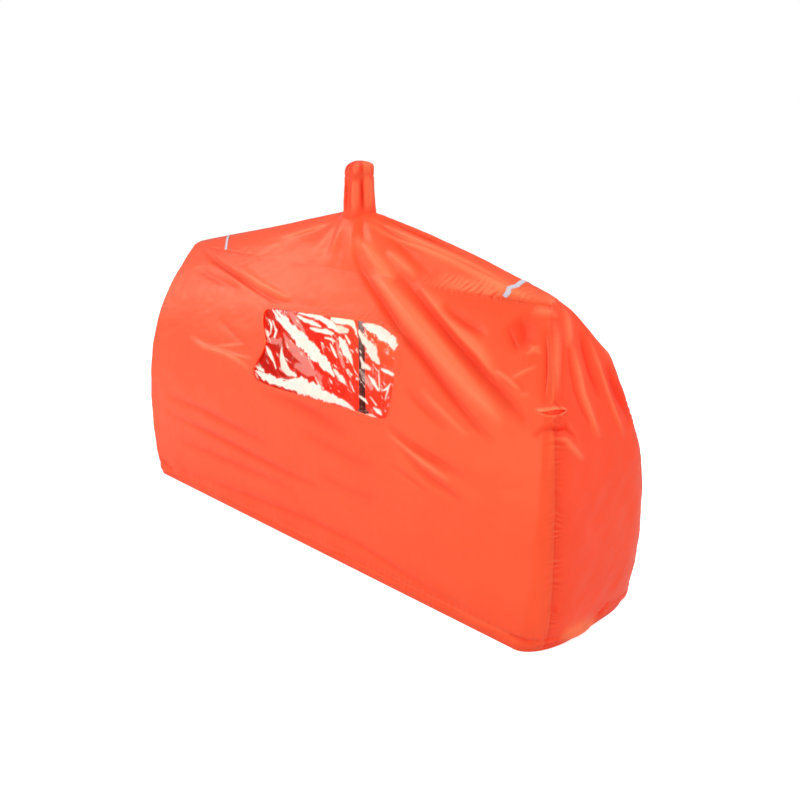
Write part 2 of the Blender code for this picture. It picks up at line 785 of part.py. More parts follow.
def window_patch(sheet):
    """The part of a wall's face that lies behind the window and its margin."""
    rows, columns = sheet.shape[:2]
    up = cropped(sheet[:, columns // 2, 2], WINDOW_Z, WINDOW_TALL / 2 + WINDOW_MARGIN)
    along = cropped(sheet[rows // 2, :, 0], WINDOW_X, WINDOW_WIDTH / 2 + WINDOW_MARGIN)
    patch = between_rows(sheet, np.arange(rows), up)
    return between_rows(patch.transpose(1, 0, 2), np.arange(columns), along).transpose(1, 0, 2)


def add_window_sheet(name, base, depth, thickness, material):
    """A sheet at a depth behind the wall's inner face."""
    inward = np.array([0.0, 1.0, 0.0])
    return add_shell(name, base + inward * depth, base + inward * (depth + thickness), material)


def rounded_outline(points, steps=3):
    """A closed smooth curve through the given points."""
    pts = np.array(points)
    out = []
    for i in range(len(pts)):
        a, b, c, d = pts[i - 1], pts[i], pts[(i + 1) % len(pts)], pts[(i + 2) % len(pts)]
        for k in range(steps):
            s = k / steps
            out.append(b + 0.5 * s * (c - a + s * (2 * a - 5 * b + 4 * c - d
                                                   + s * (3 * (b - c) + d - a))))
    return np.array(out)


def add_window_cutter(name, grow):
    outline = rounded_outline(WINDOW_OUTLINE)
    outline = outline * (1.0 + grow / np.linalg.norm(outline, axis=1, keepdims=True))
    x, z = outline[:, 0] + WINDOW_X, outline[:, 1] + WINDOW_Z
    count = len(x)
    far, near = -BASE_WIDTH, -ROOF_HALF_WIDTH
    points = [(x[i], far, z[i]) for i in range(count)] + [(x[i], near, z[i]) for i in range(count)]
    faces = [list(range(count)), list(range(count, 2 * count))]
    faces += [[i, (i + 1) % count, count + (i + 1) % count, count + i] for i in range(count)]
    return add_cutter(name, points, faces)


def vent_level():
    return (VENT_HEIGHT - HEM_HEIGHT) / (SEAM_HEIGHT - HEM_HEIGHT)


def add_vent_cutter():
    """A lens-shaped prism that opens the corner seam, square to the wall there."""
    seam = corner_wall(math.pi / 4, vent_level())
    out = unit(on_ground(corner_normals(np.array([math.pi / 4]), np.array([vent_level()]))))[0]
    wide = np.array([-out[1], out[0], 0.0])
    lens = []
    for share in np.linspace(-1.0, 1.0, LENS_POINTS):
        lens.append((share * VENT_WIDTH / 2, VENT_OPEN / 2 * (1.0 - share * share)))
    lens += [(a, -b) for a, b in lens[-2:0:-1]]
    reach = corner_span(vent_level())
    points = []
    for depth in (-reach * CUTTER_REACH, reach):
        points += [seam + out * depth + wide * a + np.array([0.0, 0.0, b]) for a, b in lens]
    count = len(lens)
    faces = [list(range(count)), list(range(count, 2 * count))]
    faces += [[i, (i + 1) % count, count + (i + 1) % count, count + i] for i in range(count)]
    return add_cutter("vent_cutter", points, faces)


def add_vent_hood(material):
    """A pocket of cloth behind the vent slit that keeps the weather out."""
    level = vent_level()
    spread = min((VENT_WIDTH / 2 + HOOD_MARGIN) / corner_span(level), HOOD_WIDEST)
    turn = np.linspace(-1.0, 1.0, 11)
    rise = np.linspace(-1.0, 1.0, 7)
    turns, rises = np.meshgrid(turn, rise)
    angles = math.pi / 4 + turns * spread
    levels = level + rises * VENT_HOOD / (SEAM_HEIGHT - HEM_HEIGHT)
    base = corner_wall(angles, levels)
    out = corner_normals(angles, levels)
    depth = CLOTH + HOOD_GAP + VENT_HOOD_DEPTH * (1.0 - turns ** 4) * (1.0 - rises ** 4)
    outer = base - out * depth[..., None]
    return add_shell("vent_hood", outer, outer - out * TAPE, material)


def add_corner_binding(name, right, rear, low, high, material):
    """The tape sewn inside a corner seam between two levels, flat between the walls' rows."""
    rows = wall_levels()
    level = rows[:, None] * np.ones(3)
    half = BINDING_WIDTH / 2 / corner_span(level)
    turn = math.pi / 4 + np.array([-1.0, 0.0, 1.0]) * half
    base = corner_wall(turn, level, right)
    out = corner_normals(turn, level, right)
    outer = base - out * (CLOTH + SEWN_GAP)
    inner = outer - out * TAPE
    keep = np.concatenate([[low], rows[(rows > low) & (rows < high)], [high]])
    flip = np.array([1.0, -1.0 if rear else 1.0, 1.0])
    faces = [between_rows(sheet, rows, keep) * flip for sheet in (outer, inner)]
    add_shell(name, faces[0], faces[1], material)


def add_bindings(material):
    """One tape in each corner seam; the one with the vent is in two lengths."""
    foot, top = wall_levels()[1], wall_levels()[-2]
    half_hood = (VENT_HOOD + HOOD_MARGIN) / (SEAM_HEIGHT - HEM_HEIGHT)
    for side, right in (("left", False), ("right", True)):
        add_corner_binding("rear_" + side + "_seam_binding", right, True, foot, top, material)
    add_corner_binding("front_left_seam_binding", False, False, foot, top, material)
    add_corner_binding("front_right_lower_seam_binding", True, False, foot,
                       vent_level() - half_hood, material)
    add_corner_binding("front_right_upper_seam_binding", True, False,
                       vent_level() + half_hood, top, material)


def half_width_at(x):
    left, right = RIDGE_LEFT, RIDGE_RIGHT
    middle, half = (right - left) / 2, (right + left) / 2 - TOP_CORNER
    return ROOF_HALF_WIDTH + SEAM_BOW * (1.0 - min(abs(x - middle) / half, 1.0) ** 2)


def add_roof_tape(name, ridge_x, seam_x, tree, material):
    """A reflective strip over the roof that slants from the ridge to both seams."""
    half = half_width_at(seam_x) - TAPE_INSET
    ys = np.linspace(-half, half, TAPE_ROWS)
    middles = ridge_x + (seam_x - ridge_x) * abs(ys) / half
    top = np.array([[(x + side, y, sheet_height(tree, x + side, y))
                     for side in (-TAPE_WIDTH / 2, TAPE_WIDTH / 2)] for x, y in zip(middles, ys)])
    low = top + np.array([0.0, 0.0, TAPE_GAP])
    return add_shell(name, low + np.array([0.0, 0.0, TAPE]), low, material)


def add_pole_patch(name, x, tree, material):
    """A stiff patch under the roof over the head of an end pole; gives back its lowest face."""
    rings, sides = 3, 14
    rows = []
    for ring in range(rings + 1):
        radius = PATCH_HOLE + (PATCH_RADIUS - PATCH_HOLE) * ring / rings
        rows.append([(x + radius * math.cos(2 * math.pi * k / sides),
                      radius * math.sin(2 * math.pi * k / sides)) for k in range(sides)])
    high = np.array([[(px, py, sheet_height(tree, px, py)) for px, py in row] for row in rows])
    high = high - np.array([0.0, 0.0, SEWN_GAP])
    low = high - np.array([0.0, 0.0, TAPE])
    add_shell(name, high, low, material, closed=True)
    return low


def head_under(low, x):
    """The highest place for a grip's head that keeps its dome a gap below the cloth over it."""
    dome = [(radius, GRIP_LENGTH - height) for radius, height in grip_profile()][::-1][:4]
    reach = np.hypot(low[..., 0] - x, low[..., 1])
    drop = np.interp(reach, [r for r, _ in dome], [d for _, d in dome])
    inside = reach <= GRIP_RADIUS
    places = [float((low[..., 2] + drop)[inside].min())]
    ring_reach, ring_height = reach.min(axis=1), low[..., 2].min(axis=1)
    order = np.argsort(ring_reach)
    for radius, fall in dome[1:]:
        over = np.interp(radius + GAP, ring_reach[order], ring_height[order])
        places.append(float(over) + fall)
    return min(places) - GAP


def add_seat(name, right, material):
    """A ground sheet sewn inside the hem at one end, for one person to sit on."""
    loop, inward = ground_loop()
    inner = loop + inward * (hem_width() + GAP)
    sign = 1.0 if right else -1.0
    edge = SEAT_REACH
    keep = [(p[0], p[1]) for p in inner if p[0] * sign > edge]
    half = BASE_WIDTH / 2 - hem_width() - GAP
    keep.append((sign * edge, half))
    keep.append((sign * edge, -half))
    middle = sign * (edge + BASE_LENGTH / 2) / 2
    keep.sort(key=lambda p: math.atan2(p[1], p[0] - middle))
    return add_prism(name, keep, 0.0, CLOTH, material)


# Poles and locks


def grip_profile():
    """Outside of a foam grip with a swelled head and finger ridges, from its foot to its top."""
    r, h = GRIP_RADIUS, GRIP_LENGTH
    return ((r * 0.82, 0.0), (r * 0.90, h * 0.08), (r * 0.80, h * 0.22), (r * 0.88, h * 0.36),
            (r * 0.80, h * 0.50), (r * 0.88, h * 0.64), (r * 0.86, h * 0.80), (r, h * 0.90),
            (r * 0.92, h * 0.965), (r * 0.55, h), (0.0, h))


def add_pole(prefix, x, head, travel, ground, finishes):
    """One pole standing at x, its head at a height under the cloth and its foot on ground."""
    sides = 14
    bore = UPPER_RADIUS + GAP
    seat = GRIP_LENGTH * GRIP_SOCKET
    grip_foot = head - GRIP_LENGTH
    add_turned(prefix + "_grip", ((0.0, seat), (bore, seat), (bore, 0.0)) + grip_profile(),
               sides, (x, 0.0, grip_foot), finishes["foam"])

    basket_foot = ground + BASKET_HEIGHT
    collar_foot = basket_foot + BASKET_TALL + STOP_CLEARANCE + travel
    shaft_foot = collar_foot + COLLAR_LIP
    shaft_top = grip_foot + seat - GAP
    inner = UPPER_RADIUS - TUBE_WALL
    add_turned(prefix + "_upper_shaft",
               ((inner, 0.0), (UPPER_RADIUS, 0.0), (UPPER_RADIUS, shaft_top - shaft_foot),
                (inner, shaft_top - shaft_foot)), sides, (x, 0.0, shaft_foot), finishes["tube"])
    lower = inner - GAP
    bore = lower - TUBE_WALL
    add_turned(prefix + "_lower_shaft",
               ((bore, 0.0), (lower, 0.0), (lower, LOWER_LENGTH), (bore, LOWER_LENGTH)), sides,
               (x, 0.0, ground + FOOT_SOLE + GAP), finishes["bright"])
    add_turned(prefix + "_rubber_foot",
               ((0.0, 0.0), (FOOT_RADIUS * 0.92, 0.0), (FOOT_RADIUS, FOOT_HEIGHT * 0.12),
                (FOOT_RADIUS * 0.9, FOOT_HEIGHT * 0.45), (lower + FOOT_LIP, FOOT_HEIGHT),
                (lower + GAP, FOOT_HEIGHT), (lower + GAP, FOOT_SOLE), (0.0, FOOT_SOLE)),
               sides, (x, 0.0, ground), finishes["rubber"])
    add_turned(prefix + "_basket",
               ((lower + GAP, 0.0), (lower + BASKET_HUB, 0.0),
                (lower + BASKET_HUB, BASKET_TALL * 0.35), (BASKET_RADIUS, BASKET_TALL * 0.45),
                (BASKET_RADIUS, BASKET_TALL * 0.60), (lower + BASKET_HUB, BASKET_TALL * 0.68),
                (lower + BASKET_HUB, BASKET_TALL), (lower + GAP, BASKET_TALL)),
               sides, (x, 0.0, basket_foot), finishes["nylon"])
    add_lock(prefix, x, collar_foot, finishes)


def add_upright(name, x, y, low, high, radius, sides, material):
    tall = high - low
    return add_turned(name, ((0.0, 0.0), (radius, 0.0), (radius, tall), (0.0, tall)), sides,
                      (x, y, low), material)


def add_lock(prefix, x, foot, finishes):
    """Collar round the upper shaft's end, with two lugs, a pin and a cam lever between them."""
    bore = UPPER_RADIUS + GAP
    lower_bore = UPPER_RADIUS - TUBE_WALL
    collar = add_turned(prefix + "_lock_collar",
                        ((lower_bore, 0.0), (COLLAR_RADIUS, 0.0), (COLLAR_RADIUS, COLLAR_HEIGHT),
                         (bore, COLLAR_HEIGHT), (bore, COLLAR_LIP - GAP),
                         (lower_bore, COLLAR_LIP - GAP)),
                        20, (x, 0.0, foot), finishes["nylon"])
    hinge_x = x + COLLAR_RADIUS + GAP + KNUCKLE_RADIUS
    low, high = foot + LUG_HEIGHT, foot + COLLAR_HEIGHT - LUG_HEIGHT
    lug_far = hinge_x + KNUCKLE_RADIUS
    for place, (bottom, top) in (("low", (foot, low)), ("high", (high, foot + COLLAR_HEIGHT))):
        near = x + bore + LUG_ROOT
        outline = ((near, -KNUCKLE_RADIUS), (lug_far, -KNUCKLE_RADIUS),
                   (lug_far, KNUCKLE_RADIUS), (near, KNUCKLE_RADIUS))
        tool = as_guide(add_prism(prefix + "_" + place + "_lug", outline, bottom, top,
                                  finishes["nylon"]))
        join(collar, tool)
    hole = as_guide(add_upright(prefix + "_pin_hole", hinge_x, 0.0, foot - PIN_RADIUS,
                                foot + COLLAR_HEIGHT + PIN_RADIUS, PIN_RADIUS + GAP, 10,
                                finishes["steel"]))
    cut(collar, hole)
    lever = add_lever(prefix, x, hinge_x, low + GAP, high - GAP, finishes["tube"])
    cut(lever, hole)
    add_upright(prefix + "_lock_pin", hinge_x, 0.0, foot, foot + COLLAR_HEIGHT, PIN_RADIUS, 10,
                finishes["steel"])


def add_lever(prefix, x, hinge_x, low, high, material):
    """The lever: a plate that hugs the collar when shut, with a knuckle round the pin."""
    near = COLLAR_RADIUS + LEVER_CLEARANCE
    far = near + LEVER_THICK
    start, end = math.radians(4.0), math.radians(LEVER_WRAP)
    steps = 9
    angles = [start + (end - start) * k / steps for k in range(steps + 1)]
    outline = [(x + far * math.cos(a), far * math.sin(a)) for a in angles]
    outline += [(x + near * math.cos(a), near * math.sin(a)) for a in reversed(angles)]
    knuckle = as_guide(add_upright(prefix + "_knuckle", hinge_x, 0.0, low, high, KNUCKLE_RADIUS,
                                   14, material))
    lever = add_prism(prefix + "_lock_lever", outline, low, high, material, (hinge_x, 0.0))
    join(lever, knuckle)
    return lever


def turn_to(item, axis, place):
    """Puts a solid turned about Z at a place, with its Z along the given axis."""
    turn = Vector((0.0, 0.0, 1.0)).rotation_difference(Vector(axis)).to_matrix().to_4x4()
    item.data.transform(turn)
    item.location = place


def add_cord_lock(prefix, place, axis, finishes):
    """A barrel with a sprung button: the barrel's closed end at place, the button along axis."""
    sides = 14
    bore = BUTTON_RADIUS + GAP
    barrel = add_turned(prefix + "_cord_lock",
                        ((0.0, 0.0), (LOCK_RADIUS - BARREL_EDGE, 0.0), (LOCK_RADIUS, BARREL_EDGE),
                         (LOCK_RADIUS, LOCK_LENGTH), (bore, LOCK_LENGTH),
                         (bore, LOCK_LENGTH - BUTTON_LENGTH), (0.0, LOCK_LENGTH - BUTTON_LENGTH)),
                        sides, (0.0, 0.0, 0.0), finishes["nylon"])
    turn_to(barrel, axis, place)
    button_foot = LOCK_LENGTH - BUTTON_LENGTH + BUTTON_TRAVEL + GAP
    button = add_turned(prefix + "_lock_button",
                        ((0.0, 0.0), (BUTTON_RADIUS, 0.0),
                         (BUTTON_RADIUS, BUTTON_LENGTH - BUTTON_EDGE),
                         (BUTTON_RADIUS - BUTTON_EDGE, BUTTON_LENGTH), (0.0, BUTTON_LENGTH)),
                        sides, (0.0, 0.0, 0.0), finishes["tube"])
    turn_to(button, axis, Vector(place) + Vector(axis) * button_foot)


def add_chimney_cord(finishes):
    """The drawcord round the vent's neck and the tape that makes its channel."""
    turn = np.linspace(0.0, 2.0 * math.pi, CHIMNEY_COLUMNS + 1)[:-1]
    middle = CHIMNEY_HEIGHT - CHIMNEY_NECK_DROP - CHANNEL_HEIGHT / 2
    middle_z = CHIMNEY_BASE + middle
    wall = chimney_radius(turn, middle / CHIMNEY_HEIGHT) - CLOTH
    centre = stacked(CHIMNEY_X, 0.0, 0.0)
    way = stacked(np.cos(turn), np.sin(turn), 0.0)
    loop = centre + way * wall[:, None]
    inset = SEWN_GAP + CHIMNEY_CORD / 2
    add_ring_cord("chimney_drawcord", loop, -way, inset, middle_z, CHIMNEY_CORD, finishes["cord"])
    inner = wall - 2 * SEWN_GAP - CHIMNEY_CORD
    rise = np.array([-1.0, 1.0])[:, None] * CHANNEL_HEIGHT / 2 + middle_z
    outer = stacked(CHIMNEY_X + inner * np.cos(turn), inner * np.sin(turn), rise)
    thin = inner - TAPE
    inside = stacked(CHIMNEY_X + thin * np.cos(turn), thin * np.sin(turn), rise)
    add_shell("chimney_channel", outer, inside, finishes["cloth"], closed=True)
    return middle_z - CHANNEL_HEIGHT / 2, float(inside[0, :, 1].max())


def build():
    clear_scene()
    finishes = {
        "cloth": finish_material("orange_cloth", CLOTH_COLOUR, 0.45),
        "deep": finish_material("inner_cloth", DEEP_CLOTH, 0.60),
        "film": finish_material("clear_film", (0.92, 0.90, 0.88, 1.0), 0.12),
        "silver": finish_material("reflective_tape", (0.80, 0.80, 0.82, 1.0), 0.30, 0.2),
        "seat": finish_material("seat_cloth", (0.035, 0.035, 0.038, 1.0), 0.75),
        "cord": finish_material("drawcord", (0.06, 0.06, 0.06, 1.0), 0.80),
        "nylon": finish_material("black_nylon", (0.025, 0.025, 0.027, 1.0), 0.50),
        "tube": finish_material("black_tube", (0.030, 0.030, 0.033, 1.0), 0.32, 0.6),
        "bright": finish_material("bare_tube", (0.55, 0.56, 0.58, 1.0), 0.28, 1.0),
        "rubber": finish_material("rubber", (0.020, 0.020, 0.020, 1.0), 0.85),
        "foam": finish_material("grip_foam", (0.040, 0.040, 0.042, 1.0), 0.90),
        "steel": finish_material("steel_pin", (0.60, 0.60, 0.60, 1.0), 0.25, 1.0),
    }
    finish_material("cutting_guide", (0.5, 0.5, 0.5, 1.0), 0.9)
    add_skin(finishes)
    add_ground_line(finishes)


def add_skin(finishes):
    cloth, deep = finishes["cloth"], finishes["deep"]
    front_stations = arc_stations(STRAIGHT_SHARE, FRONT_COLUMNS)
    rear_stations = arc_stations(STRAIGHT_SHARE, REAR_COLUMNS)
    end_stations = arc_stations(END_STRAIGHT_SHARE, END_COLUMNS)
    vent = add_vent_cutter()
    front, behind = add_wall("front_panel", side_wall, side_normals, front_lift,
                             front_stations, cloth)
    cut(front, add_window_cutter("window_cutter", 0.0))
    cut(front, vent)
    add_wall("rear_panel", side_wall, side_normals, rear_lift, rear_stations, cloth, mirror=-1.0)
    for name, right in (("left_end_panel", False), ("right_end_panel", True)):
        def surface(across, level, right=right):
            return end_wall(across, level, right)

        def normals(across, level, right=right):
            return end_normals(across, level, right)

        panel, _ = add_wall(name, surface, normals, end_lift, end_stations, cloth)
        if right:
            cut(panel, vent)
    outer, inner = roof_sheets()
    add_shell("roof_panel", outer, inner, cloth, closed=True)
    mouth = add_chimney(cloth)

    behind = window_patch(behind)
    add_window_sheet("window_film", behind, SEWN_GAP, FILM, finishes["film"])
    binding = add_window_sheet("window_binding", behind, 2 * SEWN_GAP + FILM, TAPE, deep)
    cut(binding, add_window_cutter("binding_cutter", BINDING_SETBACK))
    add_vent_hood(deep)
    add_bindings(deep)
    over, under = sheet_tree(outer), sheet_tree(inner)
    add_roof_tape("left_reflective_tape", LEFT_TAPE_RIDGE, LEFT_TAPE_SEAM, over,
                  finishes["silver"])
    add_roof_tape("right_reflective_tape", RIGHT_TAPE_RIDGE, RIGHT_TAPE_SEAM, over,
                  finishes["silver"])
    for prefix, x in (("left", LEFT_POLE_X), ("right", RIGHT_POLE_X)):
        low = add_pole_patch(prefix + "_pole_patch", x, under, deep)
        add_pole(prefix + "_pole", x, head_under(low, x), END_POLE_TRAVEL, CLOTH + GAP, finishes)
    add_supports(mouth, finishes)


def add_ground_line(finishes):
    """Hem channels, their cord and its lock, and the two seats."""
    cloth = finishes["cloth"]
    add_hem("front_hem", side_wall, side_normals, STRAIGHT_SHARE, cloth)
    add_hem("rear_hem", side_wall, side_normals, STRAIGHT_SHARE, cloth, mirror=-1.0)
    for name, right in (("left_hem", False), ("right_hem", True)):
        def surface(across, level, right=right):
            return end_wall(across, level, right)

        def normals(across, level, right=right):
            return end_normals(across, level, right)

        add_hem(name, surface, normals, END_STRAIGHT_SHARE, cloth)
    loop, inward = ground_loop()
    centre = HEM_WALL + GAP + HEM_CORD / 2
    add_ring_cord("hem_drawcord", loop, inward, centre, centre, HEM_CORD, finishes["cord"])
    lock_y = BASE_WIDTH / 2 - hem_width() - GAP - LOCK_RADIUS
    add_cord_lock("hem", (HEM_LOCK_X, lock_y, LOCK_RADIUS), (1.0, 0.0, 0.0), finishes)
    add_seat("left_seat", False, finishes["seat"])
    add_seat("right_seat", True, finishes["seat"])


def add_supports(mouth, finishes):
    """The vent's cord and lock, and the pole that stands under the chimney's mouth."""
    channel_foot, channel_y = add_chimney_cord(finishes)
    lock_y = max(channel_y - LOCK_RADIUS / 2, GRIP_RADIUS + LOCK_RADIUS + GAP)
    add_cord_lock("chimney", (CHIMNEY_X, lock_y, channel_foot - GAP), (0.0, 0.0, -1.0), finishes)
    head = head_under(mouth, CHIMNEY_X)
    add_pole("centre_pole", CHIMNEY_X, head, POLE_TRAVEL, 0.0, finishes)


build()
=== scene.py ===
"""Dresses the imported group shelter: cloth panels with their folds, clear window, tapes, stitches,
pole finishes, floor, light and camera. Metres, +Z up, X along the length, -Y the window side."""

import math

import bmesh
import bpy
import numpy as np
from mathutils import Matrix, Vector
from mathutils.bvhtree import BVHTree
from mathutils.geometry import delaunay_2d_cdt


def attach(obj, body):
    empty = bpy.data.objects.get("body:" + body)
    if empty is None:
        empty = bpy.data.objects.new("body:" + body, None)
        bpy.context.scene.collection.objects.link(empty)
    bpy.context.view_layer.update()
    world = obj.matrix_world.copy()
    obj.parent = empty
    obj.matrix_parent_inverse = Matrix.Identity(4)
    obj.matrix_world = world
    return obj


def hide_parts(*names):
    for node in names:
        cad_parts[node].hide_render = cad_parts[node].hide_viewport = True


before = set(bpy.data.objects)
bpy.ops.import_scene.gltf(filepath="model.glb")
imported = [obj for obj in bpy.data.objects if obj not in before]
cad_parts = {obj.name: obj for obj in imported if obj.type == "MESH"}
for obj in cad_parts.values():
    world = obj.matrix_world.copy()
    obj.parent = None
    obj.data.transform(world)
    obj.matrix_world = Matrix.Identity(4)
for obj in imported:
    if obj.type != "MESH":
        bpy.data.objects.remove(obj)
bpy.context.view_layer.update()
SKIN_BODY = "shelter"

# The skin's plan and height, as its solids have them
BASE_LENGTH = 1.456
BASE_WIDTH = 0.373
SEAM_HEIGHT = 0.674
RIDGE_LEFT = 0.674
RIDGE_RIGHT = 0.598
ROOF_HALF_WIDTH = 0.027
CORNER_LONG = 0.062
CORNER_DEEP = 0.128
TOP_CORNER = 0.012
END_BELLY = 0.021
SIDE_BELLY = 0.003
SEAM_BOW = 0.043
SEAM_LIFT = 0.011
RIDGE_RISE = 0.009
SEAM_FACING = (0.8, 0.9, 0.7)
LEAN_POWER = 3.4
BOW_POWER = 5.0
SWELL_POWER = 14.0
CLOSE_POWER = 3.0
PEAK_POWER = 10.0
RIDGE_ARCH = 1.10
RIDGE_SKEW = 0.15
STRAIGHT_SHARE = 0.9
END_STRAIGHT_SHARE = 0.6
HEM_HEIGHT = 0.009

# Chimney vent
CHIMNEY_X = 0.019
CHIMNEY_RADIUS = 0.041
CHIMNEY_BASE = 0.816
CHIMNEY_DIP = 0.016
CHIMNEY_HEIGHT = 0.116
CHIMNEY_NECK = 0.0345
CHIMNEY_NECK_DROP = 0.030
CHIMNEY_MOUTH = 0.009
CHIMNEY_TUCK = 0.005
CHIMNEY_FOOT_GAP = 0.0009
CHIMNEY_FOLDS = ((3, 0.0016, 0.4), (7, 0.0012, 1.9))
CHANNEL_HEIGHT = 0.008
CHIMNEY_CORD = 0.0024

# Window: centre (x, z), outline about it, and the film behind it
WINDOW_X = 0.033
WINDOW_Z = 0.480
WINDOW_OUTLINE = (
    (-0.245, 0.079), (-0.108, 0.095), (0.009, 0.100), (0.116, 0.106), (0.161, 0.106),
    (0.236, 0.082), (0.232, 0.060), (0.247, 0.005), (0.247, -0.074), (0.215, -0.089),
    (0.143, -0.090), (-0.066, -0.095), (-0.203, -0.095), (-0.244, -0.082),
    (-0.244, -0.057), (-0.217, 0.000),
)
WINDOW_WIDTH = 0.492
WINDOW_TALL = 0.202
WINDOW_MARGIN = 0.018

# Low vent at the near right corner seam
VENT_HEIGHT = 0.496
VENT_WIDTH = 0.050
VENT_OPEN = 0.011
VENT_HOOD = 0.018
VENT_HOOD_DEPTH = 0.010

# Sheets, tapes and hem
CLOTH = 0.0014
TAPE = 0.0009
SEAM_GAP = 0.00015
# Each reflective strip: its end, its place along the ridge and along the seam, and its swing
TAPES = (("left", -0.528, -0.480, 1.0), ("right", 0.512, 0.492, 0.4))
BINDING_WIDTH = 0.012
PATCH_RADIUS = 0.020
PATCH_HOLE = 0.003
SEAT_REACH = 0.340
LEFT_POLE_X = -0.600
RIGHT_POLE_X = 0.520
HEM_WALL = 0.0012
HEM_CORD = 0.0030
HEM_SEAM_HEIGHT = 0.030

# Stitches
STITCH_PITCH = 0.0042
STITCH_LENGTH = 0.0028
STITCH_THICK = 0.0006

# How finely the sheets are divided
FRONT_COLUMNS = 240
REAR_COLUMNS = 120
SIDE_ARC_COLUMNS = 26
END_COLUMNS = 72
END_ARC_COLUMNS = 28
WALL_ROWS = 256
PLAIN_ROWS = 200
ROOF_ROWS = 56
ROOF_END_COLUMNS = 14
ROOF_ARC_COLUMNS = 10
CHIMNEY_COLUMNS = 144
CHIMNEY_ROWS = 72

